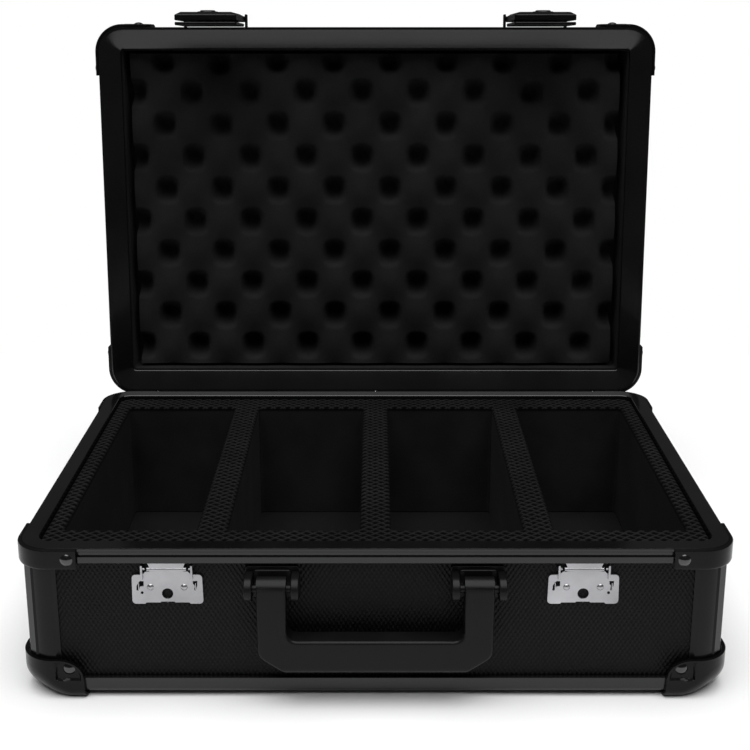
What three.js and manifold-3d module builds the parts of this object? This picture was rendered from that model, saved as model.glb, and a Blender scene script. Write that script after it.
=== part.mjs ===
// Poker chip case: an aluminium-framed case with a foam insert, a foam-lined lid,
// two key latches and a swinging handle. Millimetres, +Z up. The origin is the middle of
// the bottom panel's underside, +Y runs from the handle to the hinges, +X to the right.
// The lid stands open against its stop.

import * as THREE from "three";
import { mergeVertices } from "three/addons/utils/BufferGeometryUtils.js";
import Module from "manifold-3d";

const wasm = await Module();
wasm.setup();

// ---- Driving dimensions ----

const CASE_WIDTH = 450;
const CASE_DEPTH = 304;
const BASE_HEIGHT = 101;
const LID_HEIGHT = 45;
const CORNER_RADIUS = 20;
const CORNER_SEGMENTS = 4;
const SMALL_RADIUS = 2;
const OPEN_ANGLE = 93.86;
const CLOSED_GAP = 0.3;
const FIT_GAP = 0.3;
// How far a cutting shape reaches past what it cuts, and how far joined shapes overlap.
const OVERCUT = 9;
const OVERLAP = 0.1;

// Extruded frame: lip, groove and rib run round the rim, a plain rail round the far edge.
const LIP_HEIGHT = 2.7;
const GROOVE_HEIGHT = 3.1;
const GROOVE_INSET = 1.5;
const RIB_HEIGHT = 4.8;
const RIM_HEIGHT = LIP_HEIGHT + GROOVE_HEIGHT + RIB_HEIGHT;
const BASE_RIM_WIDTH = 11;
const LID_RIM_WIDTH = 17;
const LID_BEVEL_START = 2.5;
const LID_BEVEL_DEPTH = 5.7;
const LID_OPENING_RADIUS = 3;
const RAIL_HEIGHT = 10.5;
const RAIL_LIP = 3.2;
const RAIL_FLANGE = 18;
const RAIL_LEDGE_REACH = 22.7;
const RAIL_LEDGE_TOP = 5;
const RAIL_ROUNDING = 3.5;

// Boards and lining.
const WALL_INSET = 3.5;
const WALL_THICKNESS = 4;
const WALL_END = 20.3;
const WALL_TUCK = 3.6;
const FLAT_PANEL_THICKNESS = 2.9;
const FLOOR_PAD_THICKNESS = 2;
const POST_INSET = 0.3;
const POST_FLANGE = 24;
const POST_SHEET = 3;

// Corner pieces.
const CORNER_LEG = 38.5;
const BRACKET_HEIGHT = 14;
const BRACKET_PROUD = 2.5;
const BRACKET_RIVET_PLACE = 32.5;
const CAP_HEIGHT = 24;
const CAP_PROUD = 3;
const CAP_FOOT = 3.5;
const CAP_ROUNDING = 7;
const CAP_POCKET = 13.5;
const CAP_POCKET_DEPTH = 1.8;
const CAP_POCKET_MARGIN = 3;
const CAP_RIVET_PLACE = 29;
const CAP_RIVET_HEIGHT = 17.6;
const RIVET_RADIUS = 4;
const RIVET_DOME = 1.6;
const RIVET_TAPER = 0.45;
const RIVET_SIDES = 8;

// Foam insert and lid foam.
const WELL_COUNT = 4;
const WELL_WIDTH = 86;
const WELL_LENGTH = 236;
const WELL_PITCH = 106;
const WELL_RADIUS = 5;
const INSERT_SINK = 2.3;
const LID_FOAM_THICKNESS = 26;

// Latches.
const LATCH_X = 131;
const COVER_WIDTH = 47.7;
const COVER_REACH = 50;
const COVER_BACK = 22;
const COVER_OUT = 4.2;
const COVER_THICKNESS = 6.5;
const COVER_CHAMFER = 4;
const COVER_CHAMFER_DEPTH = 2.2;
const COVER_POCKET_DEPTH = 5;
const HOOK_OUT = 0.5;
const HOOK_THICKNESS = 2.5;
const LEVER_PIVOT_OUT = 7.5;
const LEVER_PIVOT_RISE = 18.5;
const LEVER_PIN_RADIUS = 1.5;
const LEVER_BORE_RADIUS = 1.9;
const COVER_SHEET = 1.6;
const COVER_POCKET_FRONT = 46;
const COVER_POCKET_BACK = 9;
const HOOK_BACK = 13;
const HOOK_WINDOW_HALF = 16.6;
const HOOK_WINDOW_BOTTOM = -20;
const HOOK_WINDOW_TOP = -4.5;
const HOOK_NOSE_HOLE = 4.5;
const LATCH_EAR_GAP = 0.35;
const LATCH_EAR_SHEET = 1.6;
const LATCH_EAR_OUT = 3;
const LATCH_EAR_BOTTOM = 14;
const LATCH_EAR_TOP = 23;
const LATCH_PLATE_BOTTOM = 12.3;
const LATCH_PLATE_TOP = 30;
const LATCH_PLATE_SHEET = 1.5;
const LOCK_DROP = 32;
const LOCK_RADIUS = 6;
const LOCK_PROUD = 1.5;
const LOCK_NOSE_RADIUS = 3;
const LOCK_NOSE_OUT = 0.6;
const LOCK_EDGE = 0.5;
const LOCK_SLOT_HALF_WIDTH = 0.6;
const LOCK_SLOT_HALF_HEIGHT = 2.6;
const LOCK_SLOT_DEPTH = 1.5;
const KEEPER_BOTTOM = 61.8;
const KEEPER_TOP = 82.2;
const KEEPER_WIDTH = 45;
const KEEPER_SHEET = 1.5;
const KEEPER_CORNER = 2.5;
const KEEPER_FOOT = 9;
const KEEPER_RECESS = 0.9;
const KEEPER_RISE = 1;
const KEEPER_WAVE = 1.6;
const KEEPER_WAVE_HALF = 6.5;
const KEEPER_STEP_INNER = 12.5;
const KEEPER_STEP_OUTER = 14.5;
const KEEPER_EAR_INNER = 14.9;
const KEEPER_EAR_SHEET = 1.2;
const KEEPER_EAR_TOP = 89.1;
const KEEPER_PIN_RADIUS = 0.75;
const KEEPER_PIN_HALF = 15.5;
const KEEPER_RIVET_X = 10.6;
const KEEPER_RIVET_HEIGHT = 73.2;
const KEEPER_RIVET_RADIUS = 2.2;
const KEEPER_RIVET_DOME = 1.1;
const KEYHOLE_RADIUS = 3.5;
const CLAW_PIVOT_HEIGHT = 86;
const CLAW_PIVOT_IN = 2;
const CLAW_WIDTH = 27.8;
const CLAW_TOP = 93.2;
const CLAW_IN = 2.3;
const CLAW_TONGUE_OUT = 1;
const CLAW_LIP_OUT = 0.15;
const CLAW_LIP_HEIGHT = 1.2;
const CLAW_BARREL_RADIUS = 1.4;
const CLAW_BORE_RADIUS = 0.95;
const CLAW_NOTCH_HALF = 15.5;
const CLAW_NOTCH_DEPTH = 3.1;

// Handle.
const HANDLE_MOUNT_X = 64.6;
const HANDLE_PIVOT_OUT = 7.5;
const HANDLE_PIVOT_HEIGHT = 77.2;
const HANDLE_THICKNESS = 15;
const HANDLE_WIDTH = 147.5;
const HANDLE_ARM = 18.3;
const HANDLE_DROP = 55.5;
const HANDLE_GRIP = 22.5;
const HANDLE_PIN_RADIUS = 2.5;
const HANDLE_BORE_RADIUS = 2.9;
const MOUNT_WIDTH = 34.4;
const MOUNT_EAR = 5.2;
const MOUNT_PLATE_HEIGHT = 22;
const MOUNT_PLATE_OUT = -0.8;
const GRIP_SOFTNESS = 1.6;
const GRIP_INNER_ROUND = 6.5;
const GRIP_BOTTOM_ROUND = 3.5;

// Hinges.
const HINGE_X = 93;
const HINGE_WIDTH = 185.4;
const HINGE_OUT = 2.6;
const HINGE_DROP = 5;
const KNUCKLE_RADIUS = 2.1;
const KNUCKLE_BORE = 1.2;
const HINGE_PIN_RADIUS = 0.9;
const LID_KNUCKLE_HALF = 9.7;
const LEAF_SHEET = 1.2;
const LEAF_HEIGHT = 14;
const LEAF_GAP = 0.7;
const LEAF_STEM = 0.6;
const LEAF_RIVET_X = 62;
const LEAF_RIVET_SHARE = 0.55;
const LEAF_RIVET_RADIUS = 2.4;
const LEAF_RIVET_DOME = 0.9;

// ---- Materials ----

const FINISHES = {
  frame: { color: 0x1b1b1d, roughness: 0.38, metalness: 0.85 },
  panel: { color: 0x101011, roughness: 0.62, metalness: 0.0 },
  corner: { color: 0x141415, roughness: 0.4, metalness: 0.8 },
  foam: { color: 0x0a0a0a, roughness: 0.95, metalness: 0.0 },
  latch: { color: 0xb4b4b4, roughness: 0.35, metalness: 0.9 },
  latchBlack: { color: 0x1a1a1b, roughness: 0.42, metalness: 0.7 },
  handle: { color: 0x171717, roughness: 0.5, metalness: 0.0 },
};

const partGroup = new THREE.Group();
const lidGroup = new THREE.Group();
const shellOfLid = new THREE.Group();
const hingeY = CASE_DEPTH / 2 + HINGE_OUT;
lidGroup.position.set(0, hingeY, BASE_HEIGHT - HINGE_DROP);
lidGroup.rotation.x = THREE.MathUtils.degToRad(180 - OPEN_ANGLE);
const hingeInShell = LID_HEIGHT + CLOSED_GAP + HINGE_DROP;
shellOfLid.position.set(0, hingeY, -hingeInShell);
lidGroup.add(shellOfLid);
partGroup.add(lidGroup);

// ---- Solids ----

function solid(geometry) {
  const bare = geometry.index ? geometry.toNonIndexed() : geometry.clone();
  bare.deleteAttribute("normal");
  bare.deleteAttribute("uv");
  const merged = mergeVertices(bare, 1e-4);
  return new wasm.Manifold(
    new wasm.Mesh({
      numProp: 3,
      vertProperties: merged.attributes.position.array,
      triVerts: new Uint32Array(merged.index.array),
    }),
  );
}

function joined(first, ...others) {
  return others.reduce((sum, other) => sum.add(other), first);
}

function cut(first, ...others) {
  return others.reduce((rest, other) => rest.subtract(other), first);
}

function addPart(name, shape, finish, group = partGroup) {
  const mesh = shape.getMesh();
  const geometry = new THREE.BufferGeometry();
  geometry.setAttribute("position", new THREE.BufferAttribute(mesh.vertProperties, 3));
  geometry.setIndex(new THREE.BufferAttribute(mesh.triVerts, 1));
  geometry.computeVertexNormals();
  const part = new THREE.Mesh(geometry, new THREE.MeshStandardMaterial(FINISHES[finish]));
  part.name = name;
  group.add(part);
}

function block(x0, x1, y0, y1, z0, z1) {
  const geometry = new THREE.BoxGeometry(x1 - x0, y1 - y0, z1 - z0);
  geometry.translate((x0 + x1) / 2, (y0 + y1) / 2, (z0 + z1) / 2);
  return solid(geometry);
}

// A rod along X, from x0 to x1.
function rodX(radius, x0, x1, y, z, segments = 12) {
  const geometry = new THREE.CylinderGeometry(radius, radius, x1 - x0, segments);
  geometry.rotateZ(Math.PI / 2);
  geometry.translate((x0 + x1) / 2, y, z);
  return solid(geometry);
}

// A rod along Y, from y0 to y1.
function rodY(radius, y0, y1, x, z, segments = 16) {
  const geometry = new THREE.CylinderGeometry(radius, radius, y1 - y0, segments);
  geometry.translate(x, (y0 + y1) / 2, z);
  return solid(geometry);
}

// A low dome standing on a plane, pointing along the unit vector (nx, ny).
function rivet(x, y, z, nx, ny, radius = RIVET_RADIUS, dome = RIVET_DOME) {
  const geometry = new THREE.CylinderGeometry(radius * RIVET_TAPER, radius, dome, RIVET_SIDES);
  geometry.translate(0, (dome - OVERLAP) / 2, 0);
  geometry.rotateX(Math.PI / 2);
  geometry.lookAt(new THREE.Vector3(nx, ny, 0));
  geometry.translate(x, y, z);
  return solid(geometry);
}

function roundedRect(width, depth, radius) {
  const halfX = width / 2;
  const halfY = depth / 2;
  const shape = new THREE.Shape();
  shape.moveTo(-halfX + radius, -halfY);
  shape.lineTo(halfX - radius, -halfY);
  shape.absarc(halfX - radius, -halfY + radius, radius, -Math.PI / 2, 0);
  shape.lineTo(halfX, halfY - radius);
  shape.absarc(halfX - radius, halfY - radius, radius, 0, Math.PI / 2);
  shape.lineTo(-halfX + radius, halfY);
  shape.absarc(-halfX + radius, halfY - radius, radius, Math.PI / 2, Math.PI);
  shape.lineTo(-halfX, -halfY + radius);
  shape.absarc(-halfX + radius, -halfY + radius, radius, Math.PI, Math.PI * 1.5);
  return shape;
}

function prism(shape, z0, z1, options = {}) {
  const geometry = new THREE.ExtrudeGeometry(shape, {
    depth: z1 - z0,
    curveSegments: CORNER_SEGMENTS,
    bevelEnabled: false,
    ...options,
  });
  geometry.translate(0, 0, z0);
  return solid(geometry);
}

// The case's outline, drawn in by inset, as a solid from z0 to z1.
function outlineBlock(inset, z0, z1, radius = Math.max(CORNER_RADIUS - inset, 1)) {
  const shape = roundedRect(CASE_WIDTH - 2 * inset, CASE_DEPTH - 2 * inset, radius);
  return prism(shape, z0, z1, { curveSegments: radius < SMALL_RADIUS ? 1 : CORNER_SEGMENTS });
}

// The same outline with its bottom edge rounded and its top cut flat.
function roundedBlock(inset, z0, z1, rounding) {
  const drawnIn = inset + rounding;
  const shape = roundedRect(
    CASE_WIDTH - 2 * drawnIn,
    CASE_DEPTH - 2 * drawnIn,
    CORNER_RADIUS - drawnIn,
  );
  const whole = prism(shape, z0 + rounding, z1, {
    bevelEnabled: true,
    bevelThickness: rounding,
    bevelSize: rounding,
    bevelSegments: 2,
  });
  return whole.trimByPlane([0, 0, -1], -z1);
}

function ring(insetOuter, insetInner, z0, z1, innerRadius) {
  return cut(
    outlineBlock(insetOuter, z0, z1),
    outlineBlock(insetInner, z0 - 1, z1 + 1, innerRadius),
  );
}

// ---- The shell: frame, boards and corner pieces, the same for the base and the lid ----
// Shell coordinates: z = 0 is the flat panel's outer face and z = height is the rim plane.

function rimFrame(height, width, opening) {
  const lipBottom = height - LIP_HEIGHT;
  const grooveBottom = lipBottom - GROOVE_HEIGHT;
  const ribBottom = grooveBottom - RIB_HEIGHT;
  const slot = cut(
    outlineBlock(WALL_INSET - FIT_GAP, ribBottom - 1, ribBottom + WALL_TUCK + FIT_GAP),
    outlineBlock(WALL_INSET + WALL_THICKNESS + FIT_GAP, ribBottom - 2, height),
  );
  const stack = joined(
    ring(0, width, lipBottom, height, opening),
    ring(GROOVE_INSET, width, grooveBottom, lipBottom, opening),
    ring(0, width, ribBottom, grooveBottom, opening),
  );
  return cut(stack, slot);
}

function edgeRail() {
  const outside = roundedBlock(0, 0, RAIL_HEIGHT, RAIL_ROUNDING);
  const above = outlineBlock(RAIL_LIP, RAIL_LEDGE_TOP, RAIL_HEIGHT + OVERCUT);
  const inside = outlineBlock(RAIL_LEDGE_REACH, -1, RAIL_HEIGHT, 1);
  const rabbet = outlineBlock(RAIL_FLANGE, -1, FLAT_PANEL_THICKNESS + FIT_GAP, 1);
  return cut(outside, above, inside, rabbet);
}

// A corner post: the rounded outside, a flange over each board's end, and a core between the boards.
function cornerPost(signX, signY, z0, z1) {
  const outer = CORNER_RADIUS;
  const core = WALL_END - FIT_GAP;
  const back = WALL_INSET + WALL_THICKNESS;
  const sheet = POST_INSET + POST_SHEET - OVERLAP;
  const shape = new THREE.Shape();
  shape.moveTo(POST_FLANGE, POST_INSET);
  shape.lineTo(POST_FLANGE, sheet);
  shape.lineTo(core, sheet);
  shape.lineTo(core, back);
  shape.lineTo(back, back);
  shape.lineTo(back, core);
  shape.lineTo(sheet, core);
  shape.lineTo(sheet, POST_FLANGE);
  shape.lineTo(POST_INSET, POST_FLANGE);
  shape.lineTo(POST_INSET, outer);
  shape.absarc(outer, outer, outer - POST_INSET, Math.PI, Math.PI * 1.5);
  return turnToCorner(prism(shape, z0, z1), signX, signY);
}

// Moves a shape drawn at the front left corner, in distances from the two sides, to any corner.
function turnToCorner(shape, signX, signY) {
  const placed = shape.translate([-CASE_WIDTH / 2, -CASE_DEPTH / 2, 0]);
  const mirrorX = signX > 0 ? placed.mirror([1, 0, 0]) : placed;
  return signY > 0 ? mirrorX.mirror([0, 1, 0]) : mirrorX;
}

// A pressed bracket round a rim corner, one rivet in each leg.
function rimBracket(signX, signY, height) {
  const top = height - FIT_GAP;
  const bottom = height - BRACKET_HEIGHT;
  const sleeve = cut(
    outlineBlock(-BRACKET_PROUD, bottom, top),
    outlineBlock(-FIT_GAP, bottom - 1, top + 1),
  );
  const reach = block(-OVERCUT, CORNER_LEG, -OVERCUT, CORNER_LEG, bottom - 1, top + 1);
  const corner = sleeve.intersect(turnToCorner(reach, -1, -1));
  const rivetX = BRACKET_RIVET_PLACE - CASE_WIDTH / 2;
  const rivetY = BRACKET_RIVET_PLACE - CASE_DEPTH / 2;
  const rivetZ = (top + bottom) / 2;
  const outX = -CASE_WIDTH / 2 - BRACKET_PROUD;
  const outY = -CASE_DEPTH / 2 - BRACKET_PROUD;
  const whole = joined(
    corner,
    rivet(rivetX, outY, rivetZ, 0, -1),
    rivet(outX, rivetY, rivetZ, -1, 0),
  );
  return mirrored(whole, signX, signY);
}

function mirrored(shape, signX, signY) {
  const mirrorX = signX > 0 ? shape.mirror([1, 0, 0]) : shape;
  return signY > 0 ? mirrorX.mirror([0, 1, 0]) : mirrorX;
}

// A three-way corner cap with a riveted pocket in each leg. It stands proud below, as a foot.
function cornerCap(signX, signY) {
  const body = roundedBlock(-CAP_PROUD, -CAP_FOOT, CAP_HEIGHT, CAP_ROUNDING);
  const legWidth = RAIL_FLANGE - FIT_GAP;
  const legs = joined(
    block(-OVERCUT, CORNER_LEG, -OVERCUT, legWidth, -OVERCUT, CAP_HEIGHT + OVERCUT),
    block(-OVERCUT, legWidth, -OVERCUT, CORNER_LEG, -OVERCUT, CAP_HEIGHT + OVERCUT),
  );
  const inside = outlineBlock(-FIT_GAP, -FIT_GAP, CAP_HEIGHT + OVERCUT);
  const hollow = cut(body.intersect(turnToCorner(legs, -1, -1)), inside);
  const pocketEnd = CORNER_LEG - CAP_POCKET_MARGIN;
  const pocketStart = pocketEnd - CAP_POCKET;
  const pocketBottom = CAP_HEIGHT - CAP_POCKET;
  const inner = -CAP_PROUD + CAP_POCKET_DEPTH;
  const pockets = joined(
    block(pocketStart, pocketEnd, -OVERCUT, inner, pocketBottom, CAP_HEIGHT + OVERCUT),
    block(-OVERCUT, inner, pocketStart, pocketEnd, pocketBottom, CAP_HEIGHT + OVERCUT),
  );
  const floorX = -CASE_WIDTH / 2 + inner;
  const floorY = -CASE_DEPTH / 2 + inner;
  const rivetX = CAP_RIVET_PLACE - CASE_WIDTH / 2;
  const rivetY = CAP_RIVET_PLACE - CASE_DEPTH / 2;
  const whole = joined(
    cut(hollow, turnToCorner(pockets, -1, -1)),
    rivet(rivetX, floorY, CAP_RIVET_HEIGHT, 0, -1),
    rivet(floorX, rivetY, CAP_RIVET_HEIGHT, -1, 0),
  );
  return mirrored(whole, signX, signY);
}

// The four wall boards stand between the posts, tucked into the rim's slot.
function wallBoard(side, height) {
  const bottom = RAIL_LEDGE_TOP + FIT_GAP;
  const top = height - RIM_HEIGHT + WALL_TUCK;
  const endX = CASE_WIDTH / 2 - WALL_END;
  const endY = CASE_DEPTH / 2 - WALL_END;
  const outX = CASE_WIDTH / 2 - WALL_INSET;
  const outY = CASE_DEPTH / 2 - WALL_INSET;
  const boards = {
    yMinus: [-endX, endX, -outY, -outY + WALL_THICKNESS, bottom, top],
    yPlus: [-endX, endX, outY - WALL_THICKNESS, outY, bottom, top],
    xMinus: [-outX, -outX + WALL_THICKNESS, -endY, endY, bottom, top],
    xPlus: [outX - WALL_THICKNESS, outX, -endY, endY, bottom, top],
  };
  return block(...boards[side]);
}

function flatPanel() {
  return outlineBlock(RAIL_FLANGE + FIT_GAP, 0, FLAT_PANEL_THICKNESS, 1);
}

// names.yMinus and names.yPlus say which of the shell's sides is the front one when closed.
function addShell(prefix, height, rim, names, group) {
  addPart(`${prefix}_rim_frame`, rim, "frame", group);
  addPart(`${prefix}_edge_rail`, edgeRail(), "frame", group);
  addPart(`${prefix}_${names.flat}_panel`, flatPanel(), "panel", group);
  for (const side of ["yMinus", "yPlus", "xMinus", "xPlus"]) {
    addPart(`${prefix}_${names[side]}_panel`, wallBoard(side, height), "panel", group);
  }
  const postBottom = RAIL_HEIGHT + FIT_GAP;
  const postTop = height - RIM_HEIGHT - FIT_GAP;
  for (const signX of [-1, 1]) {
    for (const signY of [-1, 1]) {
      const across = signX < 0 ? names.xMinus : names.xPlus;
      const along = signY < 0 ? names.yMinus : names.yPlus;
      const place = `${along}_${across}`;
      const post = cornerPost(signX, signY, postBottom, postTop);
      addPart(`${prefix}_post_${place}`, post, "frame", group);
      addPart(`${prefix}_rim_bracket_${place}`, rimBracket(signX, signY, height), "corner", group);
      addPart(`${prefix}_corner_cap_${place}`, cornerCap(signX, signY), "corner", group);
    }
  }
}

// ---- Base ----

const rimPlane = BASE_HEIGHT;
const frontPlane = -CASE_DEPTH / 2;
const ribBottom = rimPlane - RIM_HEIGHT;

function baseRim() {
  const notches = [-LATCH_X, LATCH_X].map((x) =>
    block(
      x - CLAW_NOTCH_HALF,
      x + CLAW_NOTCH_HALF,
      frontPlane - 1,
      frontPlane + CLAW_NOTCH_DEPTH,
      ribBottom - 1,
      CLAW_TOP + 2 * FIT_GAP,
    ),
  );
  return cut(rimFrame(rimPlane, BASE_RIM_WIDTH), ...notches);
}

addShell(
  "base",
  BASE_HEIGHT,
  baseRim(),
  {
    flat: "bottom",
    yMinus: "front",
    yPlus: "back",
    xMinus: "left",
    xPlus: "right",
  },
  partGroup,
);

function foamInsert() {
  const bottom = RAIL_LEDGE_TOP + 0.7;
  const top = rimPlane - INSERT_SINK;
  const shoulder = ribBottom - FIT_GAP;
  const back = WALL_INSET + WALL_THICKNESS + FIT_GAP;
  const body = joined(
    outlineBlock(back, bottom, shoulder),
    outlineBlock(BASE_RIM_WIDTH + FIT_GAP, shoulder, top),
  );
  const wells = [];
  for (let i = 0; i < WELL_COUNT; i += 1) {
    const x = (i - (WELL_COUNT - 1) / 2) * WELL_PITCH;
    const well = prism(roundedRect(WELL_WIDTH, WELL_LENGTH, WELL_RADIUS), bottom - 1, top + 1);
    wells.push(well.translate([x, 0, 0]));
  }
  return cut(body, ...wells);
}

const padBottom = FLAT_PANEL_THICKNESS + FIT_GAP;
addPart("foam_insert", foamInsert(), "foam");
addPart(
  "floor_pad",
  outlineBlock(RAIL_LEDGE_REACH + FIT_GAP, padBottom, padBottom + FLOOR_PAD_THICKNESS, 1),
  "foam",
);

// ---- Latch keepers on the base, and the claws hinged on them ----

// A block by its distance out from the front plane, which runs along -Y.
function frontBlock(x0, x1, out0, out1, z0, z1) {
  return block(x0, x1, frontPlane - out1, frontPlane - out0, z0, z1);
}

function keeperPlate() {
  const half = KEEPER_WIDTH / 2;
  const corner = KEEPER_CORNER;
  const footIn = half - KEEPER_FOOT;
  const recess = KEEPER_BOTTOM + KEEPER_RECESS;
  const raised = KEEPER_TOP + KEEPER_RISE;
  const shape = new THREE.Shape();
  shape.moveTo(-half + corner, KEEPER_BOTTOM);
  shape.lineTo(-footIn, KEEPER_BOTTOM);
  shape.lineTo(-footIn + KEEPER_RECESS, recess);
  shape.lineTo(footIn - KEEPER_RECESS, recess);
  shape.lineTo(footIn, KEEPER_BOTTOM);
  shape.lineTo(half - corner, KEEPER_BOTTOM);
  shape.absarc(half - corner, KEEPER_BOTTOM + corner, corner, -Math.PI / 2, 0);
  shape.lineTo(half, KEEPER_TOP - corner);
  shape.absarc(half - corner, KEEPER_TOP - corner, corner, 0, Math.PI / 2);
  shape.lineTo(KEEPER_STEP_OUTER, KEEPER_TOP);
  shape.lineTo(KEEPER_STEP_INNER, raised);
  shape.lineTo(KEEPER_WAVE_HALF, raised);
  shape.quadraticCurveTo(0, raised + KEEPER_WAVE, -KEEPER_WAVE_HALF, raised);
  shape.lineTo(-KEEPER_STEP_INNER, raised);
  shape.lineTo(-KEEPER_STEP_OUTER, KEEPER_TOP);
  shape.lineTo(-half + corner, KEEPER_TOP);
  shape.absarc(-half + corner, KEEPER_TOP - corner, corner, Math.PI / 2, Math.PI);
  shape.lineTo(-half, KEEPER_BOTTOM + corner);
  shape.absarc(-half + corner, KEEPER_BOTTOM + corner, corner, Math.PI, Math.PI * 1.5);
  const face = frontPlane + WALL_INSET - OVERLAP;
  return prism(shape, 0, KEEPER_SHEET).rotate([90, 0, 0]).translate([0, face, 0]);
}

function keeper() {
  const sheetOut = -WALL_INSET + OVERLAP;
  const earBottom = KEEPER_TOP - 4;
  const earOuter = KEEPER_EAR_INNER + KEEPER_EAR_SHEET;
  const ears = [
    frontBlock(-earOuter, -KEEPER_EAR_INNER, sheetOut, -OVERLAP, earBottom, KEEPER_EAR_TOP),
    frontBlock(KEEPER_EAR_INNER, earOuter, sheetOut, -OVERLAP, earBottom, KEEPER_EAR_TOP),
  ];
  const pinY = frontPlane + CLAW_PIVOT_IN;
  const pin = rodX(KEEPER_PIN_RADIUS, -KEEPER_PIN_HALF, KEEPER_PIN_HALF, pinY, CLAW_PIVOT_HEIGHT);
  const rivetY = frontPlane - sheetOut - KEEPER_SHEET;
  const rivets = [-KEEPER_RIVET_X, KEEPER_RIVET_X].map((x) =>
    rivet(x, rivetY, KEEPER_RIVET_HEIGHT, 0, -1, KEEPER_RIVET_RADIUS, KEEPER_RIVET_DOME),
  );
  const keyholeZ = rimPlane - LOCK_DROP;
  const keyhole = rodY(KEYHOLE_RADIUS, frontPlane - 2, frontPlane + OVERCUT, 0, keyholeZ, 20);
  return cut(joined(keeperPlate(), ...ears, pin, ...rivets), keyhole);
}

// A flat tongue with a lip along its top, turning on the keeper's pin.
function claw() {
  const half = CLAW_WIDTH / 2;
  const pinY = frontPlane + CLAW_PIVOT_IN;
  const barrel = rodX(CLAW_BARREL_RADIUS, -half, half, pinY, CLAW_PIVOT_HEIGHT);
  const tongue = frontBlock(-half, half, -CLAW_IN, -CLAW_TONGUE_OUT, CLAW_PIVOT_HEIGHT, CLAW_TOP);
  const lipBottom = CLAW_TOP - CLAW_LIP_HEIGHT;
  const lip = frontBlock(-half, half, -CLAW_IN, -CLAW_LIP_OUT, lipBottom, CLAW_TOP);
  const bore = rodX(CLAW_BORE_RADIUS, -half - 1, half + 1, pinY, CLAW_PIVOT_HEIGHT, 16);
  return cut(joined(barrel, tongue, lip), bore);
}

for (const side of [-1, 1]) {
  const place = side < 0 ? "left" : "right";
  addPart(`latch_keeper_${place}`, keeper().translate([side * LATCH_X, 0, 0]), "latch");
  addPart(`latch_claw_${place}`, claw().translate([side * LATCH_X, 0, 0]), "latch");
}

// ---- Handle ----

function handleMount() {
  const half = MOUNT_WIDTH / 2;
  const pivotY = frontPlane - HANDLE_PIVOT_OUT;
  const earRadius = HANDLE_THICKNESS / 2;
  const plateBottom = HANDLE_PIVOT_HEIGHT - MOUNT_PLATE_HEIGHT / 2;
  const plateTop = plateBottom + MOUNT_PLATE_HEIGHT;
  const plateIn = -WALL_INSET + OVERLAP;
  const plate = frontBlock(-half, half, plateIn, MOUNT_PLATE_OUT, plateBottom, plateTop);
  const ears = [-half, half - MOUNT_EAR].map((x) => {
    const round = rodX(earRadius, x, x + MOUNT_EAR, pivotY, HANDLE_PIVOT_HEIGHT, 20);
    const web = frontBlock(
      x,
      x + MOUNT_EAR,
      plateIn,
      HANDLE_PIVOT_OUT,
      HANDLE_PIVOT_HEIGHT - earRadius,
      HANDLE_PIVOT_HEIGHT + earRadius,
    );
    return joined(round, web);
  });
  const pin = rodX(HANDLE_PIN_RADIUS, -half + 1, half - 1, pivotY, HANDLE_PIVOT_HEIGHT);
  return joined(plate, ...ears, pin);
}

// The grip seen from the front: two arms and a bar with softened outer corners.
function handleOutline() {
  const half = HANDLE_WIDTH / 2;
  const inner = half - HANDLE_ARM;
  const bottom = -HANDLE_DROP;
  const gripTop = bottom + HANDLE_GRIP;
  const top = HANDLE_THICKNESS / 2 + 1;
  const round = GRIP_INNER_ROUND;
  const shape = new THREE.Shape();
  shape.moveTo(-half, top);
  shape.lineTo(-half, bottom + 16);
  shape.quadraticCurveTo(-half, bottom + 11, -half + 5, bottom + 8);
  shape.lineTo(-half + 13, bottom + 2.6);
  shape.quadraticCurveTo(-half + 17, bottom, -half + 22, bottom);
  shape.lineTo(half - 22, bottom);
  shape.quadraticCurveTo(half - 17, bottom, half - 13, bottom + 2.6);
  shape.lineTo(half - 5, bottom + 8);
  shape.quadraticCurveTo(half, bottom + 11, half, bottom + 16);
  shape.lineTo(half, top);
  shape.lineTo(inner, top);
  shape.lineTo(inner, gripTop + round);
  shape.absarc(inner - round, gripTop + round, round, 0, -Math.PI / 2, true);
  shape.lineTo(-inner + round, gripTop);
  shape.absarc(-inner + round, gripTop + round, round, -Math.PI / 2, -Math.PI, true);
  shape.lineTo(-inner, top);
  return shape;
}

function handleSideProfile() {
  const half = HANDLE_THICKNESS / 2;
  const bottom = -HANDLE_DROP;
  const round = GRIP_BOTTOM_ROUND;
  const shape = new THREE.Shape();
  shape.moveTo(half, 0);
  shape.absarc(0, 0, half, 0, Math.PI);
  shape.lineTo(-half, bottom + round);
  shape.absarc(-half + round, bottom + round, round, Math.PI, Math.PI * 1.5);
  shape.lineTo(half - round, bottom);
  shape.absarc(half - round, bottom + round, round, -Math.PI / 2, 0);
  return shape;
}

function handleGrip() {
  const half = HANDLE_WIDTH / 2;
  const soft = GRIP_SOFTNESS;
  const face = prism(handleOutline(), 0, HANDLE_THICKNESS - 2 * soft, {
    bevelEnabled: true,
    bevelThickness: soft,
    bevelSize: soft,
    bevelOffset: -soft,
    bevelSegments: 2,
  });
  const front = face
    .translate([0, 0, -HANDLE_THICKNESS / 2 + soft])
    .rotate([90, 0, 0]);
  const side = prism(handleSideProfile(), -half - 1, half + 1).rotate([90, 0, 90]);
  const placed = front
    .intersect(side)
    .translate([0, frontPlane - HANDLE_PIVOT_OUT, HANDLE_PIVOT_HEIGHT]);
  const bore = rodX(
    HANDLE_BORE_RADIUS,
    -half - 1,
    half + 1,
    frontPlane - HANDLE_PIVOT_OUT,
    HANDLE_PIVOT_HEIGHT,
  );
  return cut(placed, bore);
}

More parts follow.
